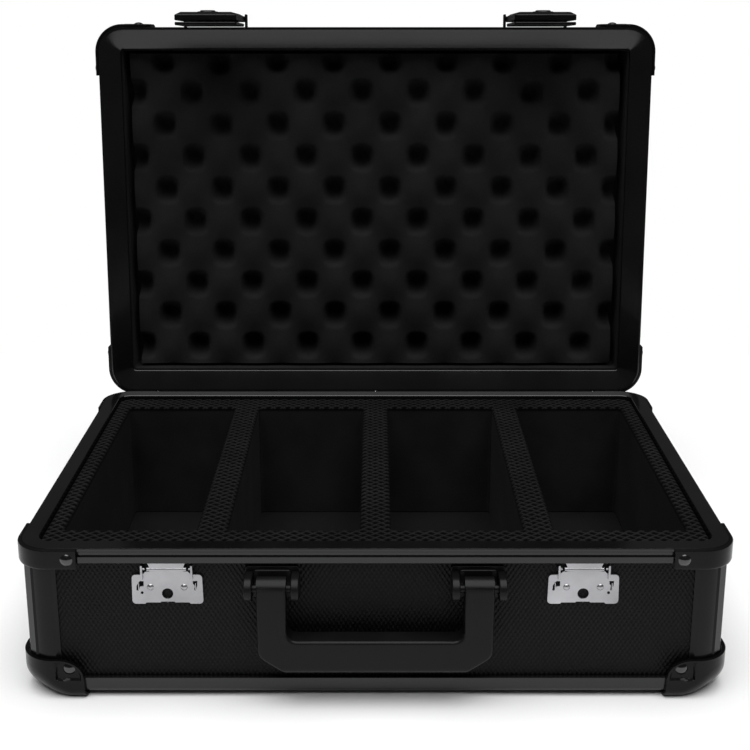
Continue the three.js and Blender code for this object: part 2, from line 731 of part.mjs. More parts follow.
addPart("handle_grip", handleGrip(), "handle");
for (const side of [-1, 1]) {
  const place = side < 0 ? "left" : "right";
  const mount = handleMount().translate([side * HANDLE_MOUNT_X, 0, 0]);
  addPart(`handle_mount_${place}`, mount, "handle");
}

// ---- Hinges ----

// A leaf that hangs below its knuckle line at axisZ, with two rivets on its face.
function hingeLeaf(axisZ, knuckles, hasPin) {
  const half = HINGE_WIDTH / 2;
  const backPlane = CASE_DEPTH / 2;
  const y0 = backPlane + FIT_GAP;
  const y1 = y0 + LEAF_SHEET;
  const top = axisZ - KNUCKLE_RADIUS - LEAF_GAP;
  const stem = axisZ - LEAF_STEM;
  let leaf = block(-half, half, y0, y1, top - LEAF_HEIGHT, top);
  for (const [x0, x1] of knuckles) {
    const tongue = block(x0, x1, y0, y1, top - OVERLAP, stem);
    const barrel = rodX(KNUCKLE_RADIUS, x0, x1, hingeY, axisZ);
    leaf = joined(leaf, tongue, barrel);
  }
  const rivetZ = top - LEAF_HEIGHT * LEAF_RIVET_SHARE;
  for (const x of [-LEAF_RIVET_X, LEAF_RIVET_X]) {
    leaf = leaf.add(rivet(x, y1, rivetZ, 0, 1, LEAF_RIVET_RADIUS, LEAF_RIVET_DOME));
  }
  if (hasPin) {
    return leaf.add(rodX(HINGE_PIN_RADIUS, -half + 1, half - 1, hingeY, axisZ));
  }
  return cut(leaf, rodX(KNUCKLE_BORE, -half, half, hingeY, axisZ, 16));
}

const outerKnuckles = [
  [-HINGE_WIDTH / 2, -LID_KNUCKLE_HALF - FIT_GAP],
  [LID_KNUCKLE_HALF + FIT_GAP, HINGE_WIDTH / 2],
];
const middleKnuckle = [[-LID_KNUCKLE_HALF, LID_KNUCKLE_HALF]];

for (const side of [-1, 1]) {
  const place = side < 0 ? "left" : "right";
  const baseLeaf = hingeLeaf(rimPlane - HINGE_DROP, outerKnuckles, true);
  addPart(`hinge_leaf_base_${place}`, baseLeaf.translate([side * HINGE_X, 0, 0]), "latchBlack");
  const lidLeaf = hingeLeaf(hingeInShell, middleKnuckle, false);
  const turned = lidLeaf.mirror([0, 1, 0]).translate([side * HINGE_X, 0, 0]);
  addPart(`hinge_leaf_lid_${place}`, turned, "latchBlack", shellOfLid);
}

// ---- Lid ----

// The lid's rim slopes inwards from a narrow land to the opening.
function lidRim() {
  const whole = rimFrame(LID_HEIGHT, LID_RIM_WIDTH, LID_OPENING_RADIUS);
  const opening = roundedRect(
    CASE_WIDTH - 2 * LID_RIM_WIDTH,
    CASE_DEPTH - 2 * LID_RIM_WIDTH,
    LID_OPENING_RADIUS,
  );
  const slope = prism(opening, LID_HEIGHT, LID_HEIGHT + 1, {
    bevelEnabled: true,
    bevelThickness: LID_BEVEL_DEPTH,
    bevelSize: LID_RIM_WIDTH - LID_BEVEL_START,
    bevelSegments: 1,
  });
  return cut(whole, slope);
}

addShell(
  "lid",
  LID_HEIGHT,
  lidRim(),
  {
    flat: "top",
    yMinus: "back",
    yPlus: "front",
    xMinus: "left",
    xPlus: "right",
  },
  shellOfLid,
);

function lidFoam() {
  const inset = WALL_INSET + WALL_THICKNESS + FIT_GAP;
  const bottom = RAIL_LEDGE_TOP + FIT_GAP;
  return outlineBlock(inset, bottom, bottom + LID_FOAM_THICKNESS);
}

addPart("lid_foam", lidFoam(), "foam", shellOfLid);

// ---- Latch levers on the lid ----

// A block by its distance out from the lid's front wall and its rise above the closed rim plane.
function lidBlock(x0, x1, out0, out1, rise0, rise1) {
  const y = CASE_DEPTH / 2;
  return block(x0, x1, y + out0, y + out1, LID_HEIGHT - rise1, LID_HEIGHT - rise0);
}

const leverPivotY = CASE_DEPTH / 2 + LEVER_PIVOT_OUT;
const leverPivotZ = LID_HEIGHT - LEVER_PIVOT_RISE;
const lockZ = LID_HEIGHT + CLOSED_GAP + LOCK_DROP;

function latchBase() {
  const earIn = COVER_WIDTH / 2 + LATCH_EAR_GAP;
  const earOut = earIn + LATCH_EAR_SHEET;
  const plateIn = -WALL_INSET + OVERLAP;
  const plateOut = plateIn + LATCH_PLATE_SHEET;
  const plate = lidBlock(-earOut, earOut, plateIn, plateOut, LATCH_PLATE_BOTTOM, LATCH_PLATE_TOP);
  const reach = LEVER_PIVOT_OUT + LATCH_EAR_OUT;
  const ears = [
    lidBlock(-earOut, -earIn, plateIn, reach, LATCH_EAR_BOTTOM, LATCH_EAR_TOP),
    lidBlock(earIn, earOut, plateIn, reach, LATCH_EAR_BOTTOM, LATCH_EAR_TOP),
  ];
  const pin = rodX(LEVER_PIN_RADIUS, -earOut + 0.5, earOut - 0.5, leverPivotY, leverPivotZ);
  return joined(plate, ...ears, pin);
}

function latchCover() {
  const half = COVER_WIDTH / 2;
  const length = COVER_REACH + COVER_BACK;
  const drawnWidth = COVER_WIDTH - 2 * COVER_CHAMFER;
  const drawnLength = length - 2 * COVER_CHAMFER;
  const slab = prism(roundedRect(drawnWidth, drawnLength, 0.5), 0, COVER_THICKNESS, {
    curveSegments: 1,
    bevelEnabled: true,
    bevelThickness: COVER_CHAMFER_DEPTH,
    bevelSize: COVER_CHAMFER,
    bevelSegments: 1,
  });
  const outer = CASE_DEPTH / 2 + COVER_OUT + COVER_THICKNESS;
  const middleZ = LID_HEIGHT + (COVER_REACH - COVER_BACK) / 2;
  const stood = slab
    .rotate([-90, 0, 0])
    .translate([0, outer - COVER_CHAMFER_DEPTH - COVER_THICKNESS, middleZ]);
  const coverTop = COVER_OUT + COVER_THICKNESS;
  const keep = lidBlock(-half, half, COVER_OUT, coverTop, -COVER_REACH, COVER_BACK);
  const pocketHalf = half - COVER_SHEET;
  const pocket = lidBlock(
    -pocketHalf,
    pocketHalf,
    0,
    COVER_OUT + COVER_POCKET_DEPTH,
    -COVER_POCKET_FRONT,
    COVER_POCKET_BACK,
  );
  const bore = rodX(LEVER_BORE_RADIUS, -half - 1, half + 1, leverPivotY, leverPivotZ);
  const lockRadius = LOCK_RADIUS + FIT_GAP;
  const lockBore = rodY(lockRadius, leverPivotY - OVERCUT, leverPivotY + OVERCUT, 0, lockZ, 24);
  return cut(stood.intersect(keep), pocket, bore, lockBore);
}

// The plate under the cover: a window for the claw, a hole for the lock's nose, two posts to the cover.
function latchHook() {
  const half = COVER_WIDTH / 2;
  const outer = HOOK_OUT + HOOK_THICKNESS;
  const plate = lidBlock(-half, half, HOOK_OUT, outer, -COVER_REACH, HOOK_BACK);
  const window = lidBlock(
    -HOOK_WINDOW_HALF,
    HOOK_WINDOW_HALF,
    HOOK_OUT - 1,
    outer + 1,
    HOOK_WINDOW_BOTTOM,
    HOOK_WINDOW_TOP,
  );
  const noseHole = rodY(HOOK_NOSE_HOLE, CASE_DEPTH / 2, CASE_DEPTH / 2 + 6, 0, lockZ);
  const postIn = outer - OVERLAP;
  const frontPost = lidBlock(7, 10, postIn, COVER_OUT + COVER_POCKET_DEPTH - FIT_GAP, -44, -41);
  const backPost = lidBlock(-20, 20, postIn, COVER_OUT - 0.25, 9.5, 12.5);
  return cut(joined(plate, frontPost, backPost), window, noseHole);
}

// The lock: a round face standing proud of the cover, a neck, and a nose towards the keyhole.
function lockCylinder() {
  const face = COVER_OUT + COVER_THICKNESS + LOCK_PROUD;
  const shoulder = HOOK_OUT + HOOK_THICKNESS + LOCK_EDGE;
  const profile = [
    new THREE.Vector2(0, LOCK_NOSE_OUT),
    new THREE.Vector2(LOCK_NOSE_RADIUS, LOCK_NOSE_OUT),
    new THREE.Vector2(LOCK_NOSE_RADIUS, shoulder),
    new THREE.Vector2(LOCK_RADIUS, shoulder),
    new THREE.Vector2(LOCK_RADIUS, face - LOCK_EDGE),
    new THREE.Vector2(LOCK_RADIUS - LOCK_EDGE, face),
    new THREE.Vector2(0, face),
  ];
  const turned = solid(new THREE.LatheGeometry(profile, 24));
  const placed = turned.translate([0, CASE_DEPTH / 2, lockZ]);
  const y = CASE_DEPTH / 2 + face;
  const slot = block(
    -LOCK_SLOT_HALF_WIDTH,
    LOCK_SLOT_HALF_WIDTH,
    y - LOCK_SLOT_DEPTH,
    y + 1,
    lockZ - LOCK_SLOT_HALF_HEIGHT,
    lockZ + LOCK_SLOT_HALF_HEIGHT,
  );
  return cut(placed, slot);
}

for (const side of [-1, 1]) {
  const place = side < 0 ? "left" : "right";
  const at = [side * LATCH_X, 0, 0];
  addPart(`latch_base_${place}`, latchBase().translate(at), "latchBlack", shellOfLid);
  addPart(`latch_cover_${place}`, latchCover().translate(at), "latchBlack", shellOfLid);
  addPart(`latch_hook_${place}`, latchHook().translate(at), "latchBlack", shellOfLid);
  addPart(`lock_cylinder_${place}`, lockCylinder().translate(at), "latchBlack", shellOfLid);
}

export default partGroup;
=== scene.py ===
"""Poker chip case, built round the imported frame. Drawn in millimetres, placed in metres."""

import math

import bmesh
import bpy
import numpy as np
from mathutils import Matrix, Vector


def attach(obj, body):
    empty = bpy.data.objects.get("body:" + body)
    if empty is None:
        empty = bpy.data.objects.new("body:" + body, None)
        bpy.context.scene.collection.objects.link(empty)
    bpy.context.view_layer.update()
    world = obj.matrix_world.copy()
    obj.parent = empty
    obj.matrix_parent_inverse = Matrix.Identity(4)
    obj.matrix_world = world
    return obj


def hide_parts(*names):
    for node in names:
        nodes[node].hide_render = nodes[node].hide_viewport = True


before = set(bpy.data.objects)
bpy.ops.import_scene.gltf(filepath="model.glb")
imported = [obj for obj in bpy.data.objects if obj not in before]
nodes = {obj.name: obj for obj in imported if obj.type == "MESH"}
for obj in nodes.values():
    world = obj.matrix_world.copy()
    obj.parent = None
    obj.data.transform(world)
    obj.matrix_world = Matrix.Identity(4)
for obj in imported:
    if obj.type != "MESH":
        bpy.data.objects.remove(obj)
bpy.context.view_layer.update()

scene = bpy.context.scene

# ---- The case, in millimetres, as the CAD frame has it ----

MM = 0.001
HALF_X, HALF_Y = 225, 152
BASE_HEIGHT, LID_HEIGHT = 101, 45
CORNER = 20
OPEN_ANGLE = 93.86
HINGE_OUT, HINGE_DROP, CLOSED_GAP = 2.6, 5, 0.3
LATCH_X = 131
RIM_HEIGHT = 10.6
RAIL_HEIGHT = 10.5
BASE_RIM_WIDTH, LID_RIM_WIDTH = 11, 17
LID_LAND, LID_BEVEL_DEPTH = 2.5, 5.7
SHARP_ANGLE = 38
RIVET_RADIUS, RIVET_RISE = 4, 1.55
SIDES = {"left": -1, "right": 1}

AT_REST = Matrix.Identity(4)
LID_PLACE = (
    Matrix.Translation((0, HALF_Y + HINGE_OUT, BASE_HEIGHT - HINGE_DROP))
    @ Matrix.Rotation(math.radians(180 - OPEN_ANGLE), 4, "X")
    @ Matrix.Translation((0, HALF_Y + HINGE_OUT, -LID_HEIGHT - CLOSED_GAP - HINGE_DROP))
)


def smoothstep(low, high, value):
    t = np.clip((np.asarray(value, float) - low) / (high - low), 0, 1)
    return t * t * (3 - 2 * t)


# ---- Materials ----


class Graph:
    """A material's node tree, with its Principled shader at hand."""

    def __init__(self, name):
        self.material = bpy.data.materials.new(name)
        self.material.use_nodes = True
        self.tree = self.material.node_tree
        self.tree.nodes.clear()
        self.shader = self.add("ShaderNodeBsdfPrincipled")
        output = self.add("ShaderNodeOutputMaterial")
        self.link(self.shader.outputs["BSDF"], output.inputs["Surface"])
        self.place = self.add("ShaderNodeTexCoord").outputs["Object"]

    def add(self, kind, **settings):
        node = self.tree.nodes.new(kind)
        for key, value in settings.items():
            setattr(node, key, value)
        return node

    def link(self, source, target):
        self.tree.links.new(source, target)

    def set(self, **values):
        for key, value in values.items():
            self.shader.inputs[key.replace("_", " ")].default_value = value

    def noise(self, scale, detail=4.0, roughness=0.55, stretch=None):
        """Noise with that many features to the metre."""
        node = self.add("ShaderNodeTexNoise")
        node.inputs["Scale"].default_value = scale
        node.inputs["Detail"].default_value = detail
        node.inputs["Roughness"].default_value = roughness
        place = self.place
        if stretch:
            mapping = self.add("ShaderNodeMapping")
            mapping.inputs["Scale"].default_value = stretch
            self.link(place, mapping.inputs["Vector"])
            place = mapping.outputs["Vector"]
        self.link(place, node.inputs["Vector"])
        return node.outputs["Fac"]

    def math(self, operation, first, second=0.0, third=None):
        node = self.add("ShaderNodeMath", operation=operation)
        for socket, value in zip(node.inputs, (first, second, third)):
            if value is None:
                continue
            if isinstance(value, (int, float)):
                socket.default_value = value
            else:
                self.link(value, socket)
        return node.outputs[0]

    def span(self, value, low, high, new_low, new_high):
        node = self.add("ShaderNodeMapRange")
        for socket, number in zip(
            ("From Min", "From Max", "To Min", "To Max"), (low, high, new_low, new_high)
        ):
            node.inputs[socket].default_value = number
        self.link(value, node.inputs["Value"])
        return node.outputs["Result"]

    def ramp(self, value, *stops):
        node = self.add("ShaderNodeValToRGB")
        elements = node.color_ramp.elements
        while len(elements) < len(stops):
            elements.new(0.5)
        for element, (position, colour) in zip(elements, stops):
            element.position = position
            element.color = (*colour, 1)
        self.link(value, node.inputs["Fac"])
        return node.outputs["Color"]

    def bump(self, height, distance, strength=1.0):
        node = self.add("ShaderNodeBump")
        node.inputs["Distance"].default_value = distance
        node.inputs["Strength"].default_value = strength
        self.link(height, node.inputs["Height"])
        self.link(node.outputs["Normal"], self.shader.inputs["Normal"])


def grey(level, tint=0.0):
    return (level, level, level * (1 + tint))


def satin(name, level, roughness, specular, grain=2600, stretch=None, metallic=0.0, depth=0.00002):
    """Coated or anodised metal: faint blotches, a fine grain, and a roughness that wanders."""
    graph = Graph(name)
    blotch = graph.noise(18, detail=5)
    grain_noise = graph.noise(grain, detail=2, stretch=stretch)
    colour = graph.ramp(blotch, (0.3, grey(level * 0.7, 0.04)), (0.7, grey(level * 1.3, 0.04)))
    graph.link(colour, graph.shader.inputs["Base Color"])
    mixed = graph.math("MULTIPLY_ADD", grain_noise, 0.4, graph.math("MULTIPLY", blotch, 0.6))
    rough = graph.span(mixed, 0.3, 0.7, roughness - 0.06, roughness + 0.06)
    graph.link(rough, graph.shader.inputs["Roughness"])
    graph.set(Metallic=metallic, Specular_IOR_Level=specular)
    graph.bump(grain_noise, depth)
    return graph.material


def woven_panel(name):
    """Laminate pressed with a fine weave of staggered dimples."""
    graph = Graph(name)
    split = graph.add("ShaderNodeSeparateXYZ")
    graph.link(graph.place, split.inputs[0])
    x, y, z = split.outputs
    across = graph.math("ADD", x, y)
    columns = graph.math("SINE", graph.math("MULTIPLY", across, 2 * math.pi / 0.003))
    rows = graph.math("SINE", graph.math("MULTIPLY", z, 2 * math.pi / 0.0048))
    weave = graph.math("MULTIPLY", columns, rows)
    speckle = graph.noise(900, detail=3)
    patchy = graph.noise(35, detail=4)
    height = graph.math("ADD", weave, graph.math("MULTIPLY", speckle, 1.6))
    lit = graph.math("ADD", graph.math("MULTIPLY", weave, 0.3), graph.math("MULTIPLY", speckle, 0.9))
    lit = graph.math("ADD", lit, graph.math("MULTIPLY", patchy, 0.3))
    colour = graph.ramp(
        graph.span(lit, 0.3, 1.1, 0, 1), (0.15, grey(0.001)), (0.6, grey(0.003)), (0.95, grey(0.012))
    )
    graph.link(colour, graph.shader.inputs["Base Color"])
    graph.link(graph.span(speckle, 0.3, 0.7, 0.36, 0.6), graph.shader.inputs["Roughness"])
    graph.set(Specular_IOR_Level=0.14)
    graph.bump(height, 0.00025, 0.8)
    return graph.material


def moulded(name, level, roughness, specular):
    """Moulded plastic with a fine spark-eroded grain."""
    graph = Graph(name)
    cells = graph.add("ShaderNodeTexVoronoi")
    cells.inputs["Scale"].default_value = 1900
    graph.link(graph.place, cells.inputs["Vector"])
    wear = graph.noise(30, detail=5)
    colour = graph.ramp(wear, (0.3, grey(level * 0.75)), (0.75, grey(level * 1.25)))
    graph.link(colour, graph.shader.inputs["Base Color"])
    rough = graph.span(wear, 0.3, 0.7, roughness - 0.04, roughness + 0.05)
    graph.link(rough, graph.shader.inputs["Roughness"])
    graph.set(Specular_IOR_Level=specular)
    graph.bump(cells.outputs["Distance"], 0.00003, 0.5)
    return graph.material


def foam(name, level, relief_and_painted_shade=None, cell=1500, depth=0.0002, specular=0.12):
    """Open-cell foam: tiny pores, soft sheen. Given tints for low and raised places, the colour is
    multiplied by painted shade in the mesh's low places and a painted highlight on its raised places,
    read from a height attribute on the mesh.
    """
    graph = Graph(name)
    pores = graph.noise(cell, detail=3, roughness=0.7)
    cloud = graph.noise(22, detail=3)
    value = graph.math("MULTIPLY_ADD", pores, 0.6, graph.math("MULTIPLY", cloud, 0.4))
    colour = graph.ramp(value, (0.35, grey(level * 0.55)), (0.65, grey(level * 1.45)))
    if relief_and_painted_shade:
        # Painted shade and painted highlight: a tint from the height attribute, dark in low places and
        # light on raised ones.
        raised = graph.add("ShaderNodeAttribute", attribute_name="relief_and_painted_shade").outputs["Fac"]
        mix = graph.add("ShaderNodeMix", data_type="RGBA", blend_type="MULTIPLY")
        mix.inputs["Factor"].default_value = 1
        graph.link(colour, mix.inputs["A"])
        painted_shade = graph.ramp(raised, (0.0, grey(relief_and_painted_shade[0])), (1.0, grey(relief_and_painted_shade[1])))
        graph.link(painted_shade, mix.inputs["B"])
        colour = mix.outputs["Result"]
        graph.link(graph.span(raised, 0, 1, 0.9, 0.5), graph.shader.inputs["Roughness"])
    else:
        graph.link(graph.span(pores, 0.3, 0.7, 0.85, 1.0), graph.shader.inputs["Roughness"])
    graph.link(colour, graph.shader.inputs["Base Color"])
    graph.set(Specular_IOR_Level=specular, Sheen_Weight=0.01, Sheen_Roughness=0.6)
    graph.bump(pores, depth, 0.7)
    return graph.material


FRAME = satin("anodised_frame", 0.0045, 0.14, 0.5, grain=1400, stretch=(1, 1, 3))
BALL = satin("pressed_corner", 0.004, 0.24, 0.15, grain=2200, depth=0.00003)
POST = satin("post_coating", 0.004, 0.2, 0.17, grain=1600, stretch=(1, 1, 3))
RIVET = satin("rivet_black", 0.004, 0.14, 0.9, grain=3000, depth=0.00001)
PANEL = woven_panel("woven_laminate")
HANDLE = moulded("handle_plastic", 0.005, 0.36, 0.15)
LATCH_BLACK = satin("latch_black", 0.003, 0.24, 0.32, grain=2600)
HINGE = satin("hinge_black", 0.008, 0.35, 0.5, grain=2200)
NICKEL = satin("satin_nickel", 0.4, 0.33, 0.5, grain=2400, stretch=(0.15, 1, 1), metallic=1.0)
LOCK = satin("lock_face", 0.02, 0.25, 0.6, grain=2600)
# Painted shade in the insert's cells (colour x0.03) and a painted highlight on its raised net (colour
# x2.2).
INSERT = foam("insert_foam", 0.007, relief_and_painted_shade=(0.03, 2.2), specular=0.02)
PAD = foam("pad_foam", 0.004)
EGG = foam("egg_crate_foam", 0.012, cell=1100, depth=0.0003)

# ---- Making pieces ----


class Shape:
    def __init__(self):
        self.bm = bmesh.new()

    def grid(self, rows, close_rows=False, close_columns=False):
        """Quads through rows of points. Returns the vertices, row by row."""
        made = [[self.bm.verts.new(point) for point in row] for row in rows]
        count = len(rows[0])
        for i in range(len(rows) if close_rows else len(rows) - 1):
            here, there = made[i], made[(i + 1) % len(rows)]
            for j in range(count if close_columns else count - 1):
                k = (j + 1) % count
                self.bm.faces.new((here[j], here[k], there[k], there[j]))
        return made

    def take(self, mesh, matrix=AT_REST):
        """Adds a mesh datablock, moved by matrix, and removes the datablock."""
        before = len(self.bm.verts)
        self.bm.from_mesh(mesh)
        self.bm.verts.ensure_lookup_table()
        bmesh.ops.transform(self.bm, matrix=matrix, verts=self.bm.verts[before:])
        bpy.data.meshes.remove(mesh)

    def block(self, x0, x1, y0, y1, z0, z1, edge=0.3, segments=2):
        other = bmesh.new()
        centre = Vector(((x0 + x1) / 2, (y0 + y1) / 2, (z0 + z1) / 2))
        size = Matrix.Diagonal((abs(x1 - x0), abs(y1 - y0), abs(z1 - z0), 1))
        bmesh.ops.create_cube(other, size=1, matrix=Matrix.Translation(centre) @ size)
        if edge:
            bmesh.ops.bevel(
                other, geom=other.edges[:], offset=edge, segments=segments, profile=0.5, affect="EDGES"
            )
        self.merge(other)

    def merge(self, other):
        mesh = bpy.data.meshes.new("part")
        other.to_mesh(mesh)
        other.free()
        self.take(mesh)

    def lathe(self, profile, matrix, steps=28):
        """Turns (radius, height) pairs round matrix's Z axis, closed at both ends."""
        rows = []
        for radius, height in profile:
            ring = [2 * math.pi * i / steps for i in range(steps)]
            points = [(radius * math.cos(a), radius * math.sin(a), height) for a in ring]
            rows.append([matrix @ Vector(point) for point in points])
        made = self.grid(rows, close_columns=True)
        self.bm.faces.new(made[0][::-1])
        self.bm.faces.new(made[-1])

    def rod_x(self, radius, x0, x1, y, z, edge=0.2, steps=28):
        turn = Matrix.Translation((x0, y, z)) @ Matrix.Rotation(math.pi / 2, 4, "Y")
        length = x1 - x0
        profile = [
            (radius - edge, 0),
            (radius - edge * 0.3, edge * 0.3),
            (radius, edge),
            (radius, length - edge),
            (radius - edge * 0.3, length - edge * 0.3),
            (radius - edge, length),
        ]
        self.lathe(profile, turn, steps)

    def dome(self, radius, rise, matrix, flange=0.15, steps=32):
        """A round rivet head on matrix's XY plane."""
        sphere = (radius * radius + rise * rise) / (2 * rise)
        half = math.asin(min(1, radius / sphere))
        profile = [(radius, -0.6), (radius, flange * 0.5)]
        for i in range(7):
            angle = half * (1 - i / 7)
            profile.append((sphere * math.sin(angle), rise - sphere * (1 - math.cos(angle))))
        profile.append((0.05, rise))
        self.lathe(profile, matrix, steps)

    def plate(self, outlines, thickness, matrix, edge=0.3, steps=1):
        """A flat plate with holes: outlines are rings of (x, y), and z runs from 0 to thickness."""
        curve = bpy.data.curves.new("outline", "CURVE")
        curve.dimensions = "2D"
        curve.fill_mode = "BOTH"
        curve.extrude = thickness / 2 - edge
        curve.bevel_depth = edge
        curve.bevel_resolution = steps
        curve.offset = -edge
        for ring in outlines:
            spline = curve.splines.new("POLY")
            spline.points.add(len(ring) - 1)
            for point, (x, y) in zip(spline.points, ring):
                point.co = (x, y, 0, 1)
            spline.use_cyclic_u = True
        holder = bpy.data.objects.new("outline", curve)
        scene.collection.objects.link(holder)
        bpy.context.view_layer.update()
        shown = holder.evaluated_get(bpy.context.evaluated_depsgraph_get())
        mesh = bpy.data.meshes.new_from_object(shown)
        bpy.data.objects.remove(holder)
        bpy.data.curves.remove(curve)
        self.take(mesh, matrix @ Matrix.Translation((0, 0, thickness / 2)))

    def finish(self, name, material, body, slot, place=AT_REST, replaces=(), merge=0.002, bevel=None):
        bmesh.ops.remove_doubles(self.bm, verts=self.bm.verts, dist=merge)
        bmesh.ops.transform(self.bm, matrix=Matrix.Scale(MM, 4) @ place, verts=self.bm.verts)
        bmesh.ops.recalc_face_normals(self.bm, faces=self.bm.faces)
        mesh = bpy.data.meshes.new(name)
        self.bm.to_mesh(mesh)
        self.bm.free()
        return settle(name, mesh, material, body, replaces, bevel)


def settle(name, mesh, material, body, replaces=(), bevel=None):
    piece = bpy.data.objects.new(name, mesh)
    scene.collection.objects.link(piece)
    mesh.materials.append(material)
    mesh.shade_smooth()
    mesh.set_sharp_from_angle(angle=math.radians(SHARP_ANGLE))
    if bevel:
        soften(piece, bevel)
    weigh(piece)
    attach(piece, body)
    if replaces:
        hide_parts(*replaces)
    return piece


def soften(piece, width, segments=2):
    modifier = piece.modifiers.new("edges", "BEVEL")
    modifier.width = width * MM
    modifier.segments = segments
    modifier.limit_method = "ANGLE"
    modifier.angle_limit = math.radians(50)


def weigh(piece):
    modifier = piece.modifiers.new("normals", "WEIGHTED_NORMAL")
    modifier.keep_sharp = True


def rounded(width, height, radius, steps=5, centre=(0, 0)):
    """A ring of points round a rectangle with rounded corners."""
    points = []
    for turn, (sx, sy) in enumerate(((1, 1), (-1, 1), (-1, -1), (1, -1))):
        cx = centre[0] + sx * (width / 2 - radius)
        cy = centre[1] + sy * (height / 2 - radius)
        for i in range(steps + 1):
            angle = math.pi / 2 * (turn + i / steps)
            points.append((cx + radius * math.cos(angle), cy + radius * math.sin(angle)))
    return points


def circle(radius, x, y, steps=24):
    return [
        (x + radius * math.cos(2 * math.pi * i / steps), y + radius * math.sin(2 * math.pi * i / steps))
        for i in range(steps)
    ]


def facing_front(x, y, z):
    """Moves a drawing in XY so that it stands on the plane at y, facing the front."""
    return Matrix.Translation((x, y, z)) @ Matrix.Rotation(math.pi / 2, 4, "X")


# ---- Rims, rails and posts ----

ARC_STEPS = 12
STRAIGHTS = (0.5, 3, 8, 16, 30, 60)


def stations():
    """Places round the case: (corner's signs, quarter turns, distance past the corner's arc)."""
    places = []
    for turn, signs in enumerate(((1, 1), (-1, 1), (-1, -1), (1, -1))):
        places += [(signs, turn, -d) for d in reversed(STRAIGHTS)]
        places += [(signs, turn + i / ARC_STEPS, 0) for i in range(ARC_STEPS + 1)]
        places += [(signs, turn + 1, d) for d in STRAIGHTS]
    return places


def at_station(station, inset, z):
    (sx, sy), turn, past = station
    radius = max(CORNER - inset, 0.4)
    angle = turn * math.pi / 2
    x = sx * (HALF_X - inset - radius) + radius * math.cos(angle)
    y = sy * (HALF_Y - inset - radius) + radius * math.sin(angle)
    return x - past * math.sin(angle), y + past * math.cos(angle), z


def ball_share(station):
    """1 at the middle of a corner, 0 along the sides."""
    _, turn, past = station
    half_arc = CORNER * math.pi / 4
    on_side = past or turn % 1 == 0
    along = abs(past) + half_arc if on_side else abs(turn % 1 - 0.5) * 2 * half_arc
    return 1 - float(smoothstep(4, 27, along))


def swept(profile):
    """A ring round the case. profile gives its section's (inset, z) points at a place."""
    shape = Shape()
    rows = [[at_station(s, inset, z) for inset, z in profile(s)] for s in stations()]
    shape.grid(rows, close_rows=True, close_columns=True)
    return shape


def rim_section(height, width, land=None, depth=0.0):
    lip, groove, rib = height - 2.7, height - 5.8, height - RIM_HEIGHT
    section = [
        (width, rib), (width, height - depth - 0.4), (width - 0.4, height - depth),
        (land or 0.5, height) if land else (0.7, height),
    ]
    section += [(0.22, height - 0.2), (0, height - 0.65), (0, lip + 0.35), (0.3, lip)]
    section += [(1.5, lip), (1.5, groove), (0.45, groove), (0.1, groove - 0.15), (0, groove - 0.5)]
    section += [(0, rib + 0.45), (0.4, rib)]
    return section


def rail_section(station):
    rounding = 3.5 + 13.5 * ball_share(station)
    section = [(22.7, 5), (22.7, 3.2), (18, 3.2), (18, 0.3), (17.7, 0)]
    steps = 8
    for i in range(steps + 1):
        angle = math.pi / 2 * i / steps
        section.append((rounding * (1 - math.sin(angle)), rounding * (1 - math.cos(angle))))
    top = max(RAIL_HEIGHT, rounding + 0.5)
    section += [(0, top - 0.5), (0.15, top - 0.15), (0.5, top), (2.8, top), (3.2, top - 0.4), (3.2, 5)]
    return section


def post_outline():
    points = [(24, 3.2), (24, 2.7), (23.5, 2.2), (21.6, 0.6), (20.8, 0.3)]
    steps = 16
    radius = CORNER - 0.3
    turns = [math.pi / 2 * i / steps for i in range(steps + 1)]
    points += [(CORNER - radius * math.sin(a), CORNER - radius * math.cos(a)) for a in turns]
    points += [(0.3, 20.8), (0.6, 21.6), (2.2, 23.5), (2.7, 24), (3.2, 24), (3.2, 8), (8, 3.2)]
    return points


def shell(prefix, height, body, place, sides):
    """The frame round the base or the lid. sides names the shell's low-y and high-y sides."""
    for sy, along in ((-1, sides[0]), (1, sides[1])):
        for across, sx in SIDES.items():
            turn = place @ Matrix.Diagonal((-sx, -sy, 1, 1)) @ Matrix.Translation((-HALF_X, -HALF_Y, 0))
            where = f"{along}_{across}"
            post = Shape()
            levels = (10.8, 14, height - RIM_HEIGHT - 3, height - 10.9)
            rows = [[(x, y, z) for x, y in post_outline()] for z in levels]
            made = post.grid(rows, close_columns=True)
            post.bm.faces.new(made[0][::-1])
            post.bm.faces.new(made[-1])
            post.finish(
                f"{prefix}_corner_post_{where}", POST, body, "frame_metal", turn,
                [f"{prefix}_post_{where}"],
            )
            bracket(height).finish(
                f"{prefix}_bracket_{where}", BALL, body, "corner_metal", turn,
                [f"{prefix}_rim_bracket_{where}"],
            )
            ball_corner().finish(
                f"{prefix}_ball_corner_{where}", BALL, body, "corner_metal", turn,
                [f"{prefix}_corner_cap_{where}"],
            )
            rivets = Shape()
            for flip in (AT_REST, SWAP):
                rivets.dome(RIVET_RADIUS, RIVET_RISE, flip @ facing_front(32.5, -2.4, height - 7.1))
                rivets.dome(RIVET_RADIUS, RIVET_RISE, flip @ facing_front(29.4, -1.2, 17.6))
            rivets.finish(f"{prefix}_rivets_{where}", RIVET, body, "corner_metal", turn)


# Swaps the two sides that meet at a corner.
SWAP = Matrix(((0, 1, 0, 0), (1, 0, 0, 0), (0, 0, 1, 0), (0, 0, 0, 1)))


# ---- Corner pieces, drawn at the corner where x and y are distances from the two sides ----

HALF_ARC = CORNER * math.pi / 4


def round_corner(s, inset, z):
    """A point s millimetres along the case's outline from the corner's middle, drawn in by inset."""
    radius = CORNER - inset
    side = 1 if s >= 0 else -1
    angle = min(abs(s), HALF_ARC) / CORNER
    past = max(abs(s) - HALF_ARC, 0)
    x = CORNER - radius * math.sin(math.pi / 4 - angle) + past
    y = CORNER - radius * math.cos(math.pi / 4 - angle)
    return (x, y, z) if side > 0 else (y, x, z)


